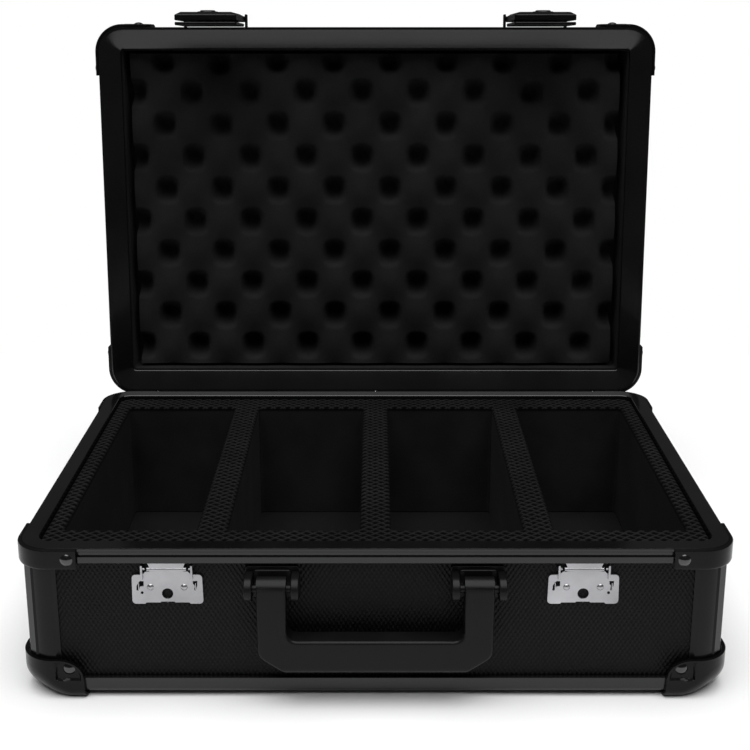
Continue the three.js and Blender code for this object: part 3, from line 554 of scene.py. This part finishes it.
def bracket(height):
    """A pressed sleeve round a rim corner, with soft edges and rounded ends."""
    shape = Shape()
    top, bottom, proud = height - 0.35, height - 14, 2.45
    length = HALF_ARC + 18.5
    columns = np.linspace(-1, 1, 61)
    rows = []
    section = [
        (-0.1, top - 0.1), (-proud + 0.9, top), (-proud + 0.25, top - 0.25), (-proud, top - 0.9),
        (-proud, top - 5), (-proud, bottom + 4), (-proud, bottom + 1.6), (-proud + 0.35, bottom + 0.6),
        (-proud + 1.1, bottom + 0.05), (-0.1, bottom),
    ]
    for inset, z in section:
        low = z - bottom
        end = length - 1.8 * (1 - min(low / 2.2, 1)) ** 2
        rows.append([round_corner(u * end, inset, z) for u in columns])
    made = shape.grid(rows, close_rows=True)
    shape.bm.faces.new([row[0] for row in made])
    shape.bm.faces.new([row[-1] for row in made][::-1])
    return shape


def border(grid):
    """The vertices round a grid's edge, in order."""
    right, left = [row[-1] for row in grid[1:]], [row[0] for row in grid[-2:0:-1]]
    return grid[0] + right + grid[-1][-2::-1] + left


def ball_corner():
    """A pressed three-way corner: a ball at the corner, two legs with a sunk place for the rivet."""
    shape = Shape()
    foot, proud, sheet = -3.5, 3, 2.4
    length = HALF_ARC + 18.5
    columns = np.linspace(-1, 1, 121)
    levels = [("round", math.pi / 2 * (1 - i / 16)) for i in range(17)]
    levels += [("wall", i / 12) for i in range(1, 13)]
    levels += [("curl", i / 12) for i in range(1, 13)]
    levels += [("under", i / 3) for i in range(1, 4)]

    def surface(sunk):
        rows = []
        for kind, t in levels:
            row = []
            for u in columns:
                if kind == "round":
                    z_end = 12 + 12 * math.sin(t)
                    s = u * (length - 16 + 16 * math.cos(t))
                elif kind == "wall":
                    z_end = 12 - t * (12 - foot - 7)
                    s = u * (length + 0.4 * t)
                else:
                    z_end = 0
                    s = u * (length + 0.4 + (1.1 * t if kind == "curl" else 1.1))
                share = 1 - float(smoothstep(3, 26, abs(s)))
                rounding = 7 + 13 * share
                inset = -proud
                if kind == "round":
                    z = z_end + share * (foot + rounding - 12) * (1 - (z_end - 12) / 12)
                elif kind == "wall":
                    start = 12 + share * (foot + rounding - 12)
                    z = start + (foot + rounding - start) * t
                elif kind == "curl":
                    angle = math.pi / 2 * t
                    inset = -proud + rounding * (1 - math.cos(angle))
                    z = foot + rounding * (1 - math.sin(angle))
                else:
                    inset = -proud + rounding + (17 + proud - rounding) * t
                    z = foot
                along = abs(s) - HALF_ARC + CORNER
                reach = min(
                    float(smoothstep(20.8, 21.8, along)),
                    float(smoothstep(9.9, 10.8, z)),
                    float(smoothstep(1.0, 2.0, edge_gap(along, z))),
                )
                inset += 1.8 * reach if sunk and kind in ("round", "wall") else 0
                if not sunk:
                    inset += sheet
                    if kind in ("curl", "under"):
                        z += sheet * math.sin(math.pi / 2 * (t if kind == "curl" else 1))
                        inset -= sheet * (1 - math.cos(math.pi / 2 * (t if kind == "curl" else 1)))
                row.append(round_corner(s, min(inset, 17), z))
            rows.append(row)
        return rows

    def edge_gap(along, z):
        """How far a place on a leg is inside the leg's rounded top corner."""
        dx, dz = max(along - 22.5, 0) / 16, max(z - 12, 0) / 12
        return (1 - math.hypot(dx, dz)) * 12

    outer = shape.grid(surface(True))
    inner = shape.grid(surface(False))
    a, b = border(outer), border(inner)
    for i in range(len(a)):
        j = (i + 1) % len(a)
        shape.bm.faces.new((a[i], a[j], b[j], b[i]))
    return shape


shell("base", BASE_HEIGHT, "base", AT_REST, ("front", "back"))
shell("lid", LID_HEIGHT, "lid", LID_PLACE, ("back", "front"))

swept(lambda s: rim_section(BASE_HEIGHT, BASE_RIM_WIDTH)).finish(
    "base_rim", FRAME, "base", "frame_metal", AT_REST, ["base_rim_frame"]
)
swept(rail_section).finish("base_rail", FRAME, "base", "frame_metal", AT_REST, ["base_edge_rail"])
swept(lambda s: rim_section(LID_HEIGHT, LID_RIM_WIDTH, LID_LAND, LID_BEVEL_DEPTH)).finish(
    "lid_rim", FRAME, "lid", "frame_metal", LID_PLACE, ["lid_rim_frame"]
)
swept(rail_section).finish("lid_rail", FRAME, "lid", "frame_metal", LID_PLACE, ["lid_edge_rail"])

# ---- Foam ----

WELLS = [(i - 1.5) * 106 for i in range(4)]
WELL_X, WELL_Y = 43, 118
INSERT_X, INSERT_Y = HALF_X - 11.2, HALF_Y - 11.2
INSERT_TOP, INSERT_BOTTOM = 98.4, 5.6


def box_gap(x, y, half_x, half_y, radius):
    """Signed distance to a rounded rectangle, negative inside."""
    dx, dy = np.abs(x) - half_x + radius, np.abs(y) - half_y + radius
    outside = np.hypot(np.maximum(dx, 0), np.maximum(dy, 0))
    return outside + np.minimum(np.maximum(dx, dy), 0) - radius


def insert_gap(x, y):
    """How far a place is inside the insert's face: negative in a well or past its edge."""
    gap = -box_gap(x, y, INSERT_X, INSERT_Y, 9)
    for well in WELLS:
        gap = np.minimum(gap, box_gap(x - well, y, WELL_X, WELL_Y, 3))
    return gap


def lattice(x, y):
    """1 on the raised net of the insert's face, 0 in its cells."""
    wave_x = x + 0.35 * np.sin(2 * np.pi * y / 6.5)
    u, v = wave_x / 8 + y / 6.5, wave_x / 8 - y / 6.5
    gap_u, gap_v = np.abs(u - np.round(u)) * 5.04, np.abs(v - np.round(v)) * 5.04
    near = np.minimum(gap_u, gap_v)
    return np.exp(-((near / 0.5) ** 2))


def foam_insert():
    step = 0.8
    nx, ny = int(2 * INSERT_X / step) + 1, int(2 * INSERT_Y / step) + 1
    xs, ys = np.linspace(-INSERT_X, INSERT_X, nx), np.linspace(-INSERT_Y, INSERT_Y, ny)
    x, y = np.meshgrid(xs, ys)
    gap = insert_gap(x, y)
    small = 0.05
    slope_x = (insert_gap(x + small, y) - insert_gap(x - small, y)) / (2 * small)
    slope_y = (insert_gap(x, y + small) - insert_gap(x, y - small)) / (2 * small)
    near = np.abs(gap) < step * 0.62
    x, y = np.where(near, x - gap * slope_x, x), np.where(near, y - gap * slope_y, y)
    keep = (gap > 0) | near
    # 1 on the raised net, 0 in the cells and at the wells' edges: it shapes the face, and stored on the
    # mesh it drives the painted shade in the cells and the painted highlight on the net.
    relief_and_painted_shade = lattice(x, y) * smoothstep(0.0, 1.5, np.where(near, 0, gap))
    z = INSERT_TOP - 0.9 * (1 - relief_and_painted_shade) - 0.8 * (1 - smoothstep(0, 2.0, np.where(near, 0, gap)))
    cells = keep[:-1, :-1] & keep[:-1, 1:] & keep[1:, :-1] & keep[1:, 1:]
    cells &= (gap[:-1, :-1] + gap[1:, 1:] + gap[1:, :-1] + gap[:-1, 1:]) > 0
    index = np.arange(nx * ny).reshape(ny, nx)
    faces = np.stack([index[:-1, :-1], index[:-1, 1:], index[1:, 1:], index[1:, :-1]], -1)[cells]
    used, renumbered = np.unique(faces, return_inverse=True)
    faces = renumbered.reshape(-1, 4)
    top = np.stack([x.ravel(), y.ravel(), z.ravel()], -1)[used]
    shape = Shape()
    layer = shape.bm.verts.layers.float.new("relief_and_painted_shade")
    verts = [shape.bm.verts.new(point) for point in top]
    for face in faces:
        shape.bm.faces.new([verts[i] for i in face])
    for vert, value in zip(verts, relief_and_painted_shade.ravel()[used]):
        vert[layer] = float(value)
    rim = [edge for edge in shape.bm.edges if edge.is_boundary]
    for depth in (INSERT_TOP - 4, INSERT_BOTTOM + 30, INSERT_BOTTOM):
        made = bmesh.ops.extrude_edge_only(shape.bm, edges=rim)["geom"]
        for vert in (g for g in made if isinstance(g, bmesh.types.BMVert)):
            vert.co.z = depth
            # The sides get a fixed share of 0.8, so the painted tint makes them lighter than the cells.
            vert[layer] = 0.8
        rim = [g for g in made if isinstance(g, bmesh.types.BMEdge)]
    return shape.finish("insert_with_wells", INSERT, "base", "insert_foam", AT_REST, ["foam_insert"])


def floor_pad():
    shape = Shape()
    xs, ys = np.linspace(-202, 202, 102), np.linspace(-129, 129, 66)
    x, y = np.meshgrid(xs, ys)
    z = 5.0 + 0.15 * np.sin(x / 23.0) * np.sin(y / 31.0)
    shape.grid([[(x[i, j], y[i, j], z[i, j]) for j in range(102)] for i in range(66)])
    rim = [edge for edge in shape.bm.edges if edge.is_boundary]
    made = bmesh.ops.extrude_edge_only(shape.bm, edges=rim)["geom"]
    for vert in (g for g in made if isinstance(g, bmesh.types.BMVert)):
        vert.co.z = 3.3
    return shape.finish("well_floor", PAD, "base", "pad_foam", AT_REST, ["floor_pad"])


EGG_PITCH_X, EGG_ROW = 46.7, 26.8
EGG_FROM_X, EGG_FROM_Y = -34.55, -115.6
EGG_PEAK, EGG_DEPTH = 31.0, 17.0


def egg_crate():
    shape = Shape()
    half_x, half_y = 202, 131
    nx, ny = 270, 180
    x, y = np.meshgrid(np.linspace(-half_x, half_x, nx), np.linspace(-half_y, half_y, ny))
    columns = np.cos(2 * np.pi * (x - EGG_FROM_X) / EGG_PITCH_X)
    low = (1 - columns * np.cos(np.pi * (y - EGG_FROM_Y) / EGG_ROW)) / 2
    drop = 0.25 * low + 0.75 * smoothstep(0.58, 1.0, low)
    z = EGG_PEAK - EGG_DEPTH * drop
    layer = shape.bm.verts.layers.float.new("relief_and_painted_shade")
    made = shape.grid([[(x[i, j], y[i, j], z[i, j]) for j in range(nx)] for i in range(ny)])
    for i, row in enumerate(made):
        for j, vert in enumerate(row):
            vert[layer] = float(1 - drop[i, j])
    rim = [edge for edge in shape.bm.edges if edge.is_boundary]
    made = bmesh.ops.extrude_edge_only(shape.bm, edges=rim)["geom"]
    for vert in (g for g in made if isinstance(g, bmesh.types.BMVert)):
        vert.co.z = 6
    rim = [g for g in made if isinstance(g, bmesh.types.BMEdge)]
    bmesh.ops.contextual_create(shape.bm, geom=rim)
    return shape.finish("egg_crate_lining", EGG, "lid", "egg_crate_foam", LID_PLACE, ["lid_foam"])


def lid_lining():
    """The lid's inner wall and the flat border that the egg crate lies on."""
    section = [(17, 35), (17, 7), (46, 7), (46, 8.5), (19.4, 8.5), (18.4, 9.5), (18.4, 34.6), (18, 35)]
    shape = swept(lambda s: section)
    return shape.finish("lid_lining_strip", EGG, "lid", "egg_crate_foam", LID_PLACE)


foam_insert()
floor_pad()
egg_crate()
lid_lining()

# ---- Latch keepers and claws ----

FRONT = -HALF_Y


def keeper_outline():
    half = 22.5
    low, high = 61.8, 82.2
    shares = [i / 12 for i in range(13)]
    wave = [(9 - 18 * t, high + 2.2 + 1.9 * math.cos(math.pi * (t - 0.5)) ** 2) for t in shares]
    right = [(half - 9, low + 0.9), (half - 8.2, low), (half - 2.5, low)]
    right += [(half - 2.5 + 2.5 * math.sin(a), low + 2.5 - 2.5 * math.cos(a)) for a in (0.4, 0.8, 1.2)]
    right += [(half, low + 2.5), (half - 0.3, high - 2.5)]
    right += [(half - 2.8 + 2.5 * math.cos(a), high - 2.5 + 2.5 * math.sin(a)) for a in (0.4, 0.8, 1.2)]
    right += [(half - 2.8, high), (16.4, high)]
    right += [(15.2, high + 0.3), (14.2, high + 1.2), (13.2, high + 2.2)]
    left = [(-x, z) for x, z in reversed(right)]
    middle = [(-4.5, low + 0.9), (-4.2, low + 1.5), (4.2, low + 1.5), (4.5, low + 0.9)]
    return right + wave + left + middle


def keeper(side, name):
    shape = Shape()
    x = side * LATCH_X
    face = FRONT + 3.4
    stand = facing_front(x, face, 0)
    slot_left = [
        (-19.4, 71.4), (-19.2, 74.6), (-17, 77.6), (-14.8, 77.4),
        (-14.9, 74.2), (-17.2, 74), (-18.4, 71.2),
    ]
    slot_right = [
        (16.2, 77.5), (19, 77.6), (18.8, 74.6), (17.6, 71.2), (17, 71.5), (17.4, 74.4), (16.4, 75.6),
    ]
    holes = [circle(3.5, 0, 69), slot_left, slot_right, circle(0.85, -side * -16.0, 69.6, 12)]
    shape.plate([keeper_outline(), *holes], 1.5, stand, edge=0.28)
    for at in (-10.6, 10.6):
        shape.dome(2.2, 1.05, facing_front(x + at, face - 1.45, 73.4))
    for ear in (-1, 1):
        shape.block(x + ear * 15, x + ear * 16.4, FRONT + 0.2, face - 0.2, 79, 88.9, edge=0.35)
        ends = sorted((x + ear * 13.6, x + ear * 16.3))
        shape.rod_x(0.8, *ends, FRONT + 2, 86)
        shape.block(x + ear * 17.6, x + ear * 18.2, face - 2.3, face - 1.2, 71.8, 76.6, edge=0.2)
    shape.block(x - 0.1, x + 0.1, face - 1.56, face - 1.4, 62.8, 66, edge=0)
    return shape.finish(
        f"keeper_{name}", NICKEL, "base", "latch_plate_metal", AT_REST, [f"latch_keeper_{name}"]
    )


def claw(side, name):
    """A folded tongue with a slot under its top bar, turning on the keeper's pins."""
    shape = Shape()
    x = side * LATCH_X
    outline = [(-10.7, 84.6), (10.7, 84.6), (10.9, 88), (12.2, 91.2), (13.8, 91.6), (13.8, 93.1),
               (-13.8, 93.1), (-13.8, 91.6), (-12.2, 91.2), (-10.9, 88)]
    slot = rounded(21, 0.9, 0.4, 3, (0, 91.5))
    shape.plate([outline, slot], 1.2, facing_front(x, FRONT + 2.2, 0), edge=0.22)
    shape.block(x - 13.8, x + 13.8, FRONT + 0.2, FRONT + 2.2, 92.1, 93.2, edge=0.3)
    shape.rod_x(1.35, x - 12.4, x + 12.4, FRONT + 2, 86)
    return shape.finish(
        f"claw_{name}", NICKEL, f"{name}_claw", "latch_plate_metal", AT_REST, [f"latch_claw_{name}"]
    )


def lid_lever(side, name):
    """The lever on the lid: a chamfered cover, the plate under it, and the lock between them."""
    x = side * LATCH_X
    y, z = HALF_Y, LID_HEIGHT
    turn = LID_PLACE
    cover = Shape()
    half = 23.85
    low, high = z - 22, z + 50
    inner, outer = y + 4.25, y + 10.65
    rows = []
    edges = [(0.4, inner), (0, inner + 0.4), (0, outer - 2.4)]
    edges += [(0.25, outer - 2.1), (3.8, outer - 0.15), (4.3, outer)]
    for drawn, out in edges:
        ring = rounded(2 * (half - drawn), high - low - 2 * drawn, 1.6, 4, (x, (low + high) / 2))
        rows.append([(a, out, b) for a, b in ring])
    made = cover.grid(rows, close_columns=True)
    cover.bm.faces.new(made[0][::-1])
    cover.bm.faces.new(made[-1])
    lock_z = z + CLOSED_GAP + 32
    facing_out = Matrix.Translation((x, 0, lock_z)) @ Matrix.Rotation(-math.pi / 2, 4, "X")
    collar = [(8.2, outer - 0.6), (8.2, outer + 0.25), (7.8, outer + 0.6), (6.5, outer + 0.6)]
    cover.lathe(collar, facing_out)
    cover.finish(
        f"lever_cover_{name}", LATCH_BLACK, f"{name}_lever", "latch_black_metal", turn,
        [f"latch_cover_{name}"],
    )
    hook = Shape()
    plate = rounded(2 * half, 62.6, 2, 4, (x, -(z + 50 - 31.3)))
    window = rounded(33, 15.5, 1, 3, (x, -(z + 12.2)))
    lay = Matrix.Translation((0, y + 0.5, 0)) @ Matrix.Rotation(-math.pi / 2, 4, "X")
    hook.plate([plate, window, circle(4.5, x, -lock_z)], 2.5, lay, edge=0.7, steps=2)
    hook.block(x + 7, x + 10, y + 2.9, y + 4.6, z + 41, z + 44, edge=0.3)
    hook.block(x - 20, x + 20, y + 2.9, y + 3.9, z - 12.5, z - 9.5, edge=0.3)
    hook.finish(
        f"lever_plate_{name}", LATCH_BLACK, f"{name}_lever", "latch_black_metal", turn,
        [f"latch_hook_{name}"],
    )
    lock = Shape()
    face = y + 12.2
    barrel = [(3, y + 0.7), (3, y + 3.6), (6, y + 3.6), (6, face - 0.6), (5.8, face - 0.2)]
    barrel += [(5.3, face), (1.9, face), (1.6, face - 0.35), (1.6, face - 0.5)]
    lock.lathe(barrel, facing_out)
    lock.block(x - 0.6, x + 0.6, face - 0.6, face - 0.45, lock_z - 2.6, lock_z + 2.6, edge=0)
    lock.finish(f"lock_{name}", LOCK, f"{name}_lock", "lock_metal", turn, [f"lock_cylinder_{name}"])
    base = Shape()
    ear = half + 0.35
    base.block(x - ear - 1.6, x + ear + 1.6, y - 3.4, y - 1.9, z - 30, z - 12.3, edge=0.5)
    for flip in (-1, 1):
        x0 = x + flip * (ear + 0.8)
        base.block(x0 - 0.8, x0 + 0.8, y - 3.4, y + 10.5, z - 23, z - 14, edge=0.5)
    base.rod_x(1.5, x - ear - 1.4, x + ear + 1.4, y + 7.5, z - 18.5)
    base.finish(
        f"lever_bracket_{name}", LATCH_BLACK, "lid", "latch_black_metal", turn, [f"latch_base_{name}"]
    )


for name, side in SIDES.items():
    keeper(side, name)
    claw(side, name)
    lid_lever(side, name)

# ---- Handle ----

PIVOT_Y, PIVOT_Z = FRONT - 7.5, 77.2


def handle_outline():
    half, arm, drop, grip = 73.75, 18.3, -55.5, 22.5
    right = [(half - 22, drop)]
    right += bend((half - 22, drop), (half - 17, drop), (half - 13, drop + 2.6))
    right += [(half - 5, drop + 8)]
    right += bend((half - 5, drop + 8), (half, drop + 11), (half, drop + 16))
    right += [(half, 8.5), (half - arm, 8.5), (half - arm, drop + grip + 6.5)]
    cx, cz = half - arm - 6.5, drop + grip + 6.5
    right += [(cx + 6.5 * math.cos(a), cz - 6.5 * math.sin(a)) for a in np.linspace(0.25, 1.35, 6)]
    right += [(cx, drop + grip)]
    return right + [(-x, z) for x, z in reversed(right)]


def bend(start, middle, end, steps=6):
    points = []
    for i in range(1, steps + 1):
        t = i / steps
        shares = (1 - t) ** 2, 2 * t * (1 - t), t * t
        corners = zip(start, middle, end)
        points.append(tuple(shares[0] * a + shares[1] * b + shares[2] * c for a, b, c in corners))
    return points


def handle():
    """The grip is cut from two outlines: its front view, and a side view with a round top."""
    front = Shape()
    front.plate([handle_outline()], 15, facing_front(0, PIVOT_Y + 7.5, PIVOT_Z), edge=2.2, steps=4)
    side = [(7.5 * math.cos(a), 7.5 * math.sin(a)) for a in np.linspace(0, math.pi, 25)]
    soft, turns = 3.5, (0.4, 0.8, 1.2)
    side += [(-7.5, -52)]
    side += [(-4 - soft * math.cos(a), -52 - soft * math.sin(a)) for a in turns]
    side += [(-4, -55.5), (4, -55.5)]
    side += [(4 + soft * math.sin(a), -52 - soft * math.cos(a)) for a in turns]
    side += [(7.5, -52)]
    mould = Shape()
    rows = [[(x, PIVOT_Y + a, PIVOT_Z + b) for a, b in side] for x in (-90, 90)]
    made = mould.grid(rows, close_columns=True)
    mould.bm.faces.new(made[0][::-1])
    mould.bm.faces.new(made[-1])
    piece = front.finish("grip", HANDLE, "handle", "handle_plastic", AT_REST, ["handle_grip"])
    cutter = mould.finish("side_view", HANDLE, "handle", "handle_plastic")
    trim(piece, cutter, "INTERSECT")
    return piece


def trim(piece, cutter, operation):
    """Cuts piece with cutter for good, and removes the cutter."""
    modifier = piece.modifiers.new("trim", "BOOLEAN")
    modifier.operation = operation
    modifier.solver = "EXACT"
    modifier.object = cutter
    shown = piece.modifiers.get("normals")
    if shown:
        piece.modifiers.remove(shown)
    bpy.context.view_layer.update()
    mesh = bpy.data.meshes.new_from_object(piece.evaluated_get(bpy.context.evaluated_depsgraph_get()))
    piece.modifiers.clear()
    old, piece.data = piece.data, mesh
    mesh.name = piece.name
    mesh.shade_smooth()
    mesh.set_sharp_from_angle(angle=math.radians(SHARP_ANGLE))
    bpy.data.meshes.remove(old)
    bpy.data.objects.remove(cutter)
    weigh(piece)


def handle_mount(side, name):
    shape = Shape()
    x = side * 64.6
    step, plate = rounded(24.2, 19, 2.2, 4), rounded(34.4, 21.6, 2, 4)
    face = FRONT + 3.4
    shape.plate([step], 3.6, facing_front(x, face, PIVOT_Z - 0.5), edge=0.8, steps=2)
    shape.plate([plate], 1.6, facing_front(x, face, PIVOT_Z), edge=0.5, steps=2)
    section = [(3.4, 7.5), (3.4, -7.5)] + [
        (-7.5 - 7.5 * math.sin(a), -7.5 * math.cos(a)) for a in np.linspace(0, math.pi, 15)
    ]
    for ear in (-1, 1):
        inner, outer = x + ear * 12.0, x + ear * 17.2
        shape.plate(
            [[(FRONT + a, PIVOT_Z + b) for a, b in section]],
            5.2,
            Matrix.Translation((min(inner, outer), 0, 0)) @ TO_SIDE,
            edge=0.9,
            steps=2,
        )
    shape.rod_x(2.5, x - 16, x + 16, PIVOT_Y, PIVOT_Z)
    return shape.finish(
        f"grip_mount_{name}", HANDLE, "base", "handle_plastic", AT_REST, [f"handle_mount_{name}"]
    )


# Turns a drawing in XY so that its x runs along y, its y along z and its thickness along x.
TO_SIDE = Matrix(((0, 0, 1, 0), (1, 0, 0, 0), (0, 1, 0, 0), (0, 0, 0, 1)))

handle()
for name, side in SIDES.items():
    handle_mount(side, name)

# ---- CAD nodes that stay, with their finishes ----

for name, node in nodes.items():
    if node.hide_render:
        continue
    material = {"panel": PANEL}.get(name.split("_")[-1], HINGE)
    node.data.materials.clear()
    node.data.materials.append(material)
    soften(node, 0.35 if material is HINGE else 0.2)

# ---- Stage, light and camera ----


FLOOR_LEVEL, FLOOR_RADIUS = -0.0035, 0.75


def floor():
    """One plain pale floor, the same to the camera and to the case's reflections."""
    mesh = bpy.data.meshes.new("floor")
    turns = [2 * math.pi * i / 96 for i in range(96)]
    outline = [(FLOOR_RADIUS * math.cos(a), FLOOR_RADIUS * math.sin(a), FLOOR_LEVEL) for a in turns]
    mesh.from_pydata(outline, [], [range(96)])
    plane = bpy.data.objects.new("floor", mesh)
    scene.collection.objects.link(plane)
    graph = Graph("pale_floor")
    colour = graph.ramp(graph.noise(3, detail=3), (0.3, grey(0.86)), (0.7, grey(0.88)))
    graph.link(colour, graph.shader.inputs["Base Color"])
    graph.set(Roughness=0.9, Specular_IOR_Level=0.1)
    mesh.materials.append(graph.material)


def lights():
    sun = bpy.data.lights.new("overhead", "SUN")
    sun.energy = 3.9
    sun.angle = math.radians(70)
    lamp = bpy.data.objects.new("overhead", sun)
    lamp.rotation_euler = (math.radians(12), 0, 0)
    scene.collection.objects.link(lamp)
    world = bpy.data.worlds.new("studio")
    scene.world = world
    world.use_nodes = True
    tree = world.node_tree
    tree.nodes.clear()
    seen, unseen = tree.nodes.new("ShaderNodeBackground"), tree.nodes.new("ShaderNodeBackground")
    seen.inputs["Color"].default_value = (1, 1, 1, 1)
    unseen.inputs["Color"].default_value = (0.06, 0.06, 0.062, 1)
    mix, path = tree.nodes.new("ShaderNodeMixShader"), tree.nodes.new("ShaderNodeLightPath")
    output = tree.nodes.new("ShaderNodeOutputWorld")
    tree.links.new(path.outputs["Is Camera Ray"], mix.inputs["Fac"])
    tree.links.new(unseen.outputs[0], mix.inputs[1])
    tree.links.new(seen.outputs[0], mix.inputs[2])
    tree.links.new(mix.outputs[0], output.inputs["Surface"])


def camera():
    data = bpy.data.cameras.new("camera")
    data.lens = 61.97
    data.sensor_width = 36
    data.shift_y = -0.0731
    data.shift_x = -0.0005
    data.clip_end = 200
    view = bpy.data.objects.new("camera", data)
    view.location = (0, -0.8878, 0.4536)
    view.rotation_euler = (math.radians(90 - 15.58), 0, 0)
    scene.collection.objects.link(view)
    scene.camera = view


floor()
lights()
camera()
scene.view_settings.view_transform = "Standard"
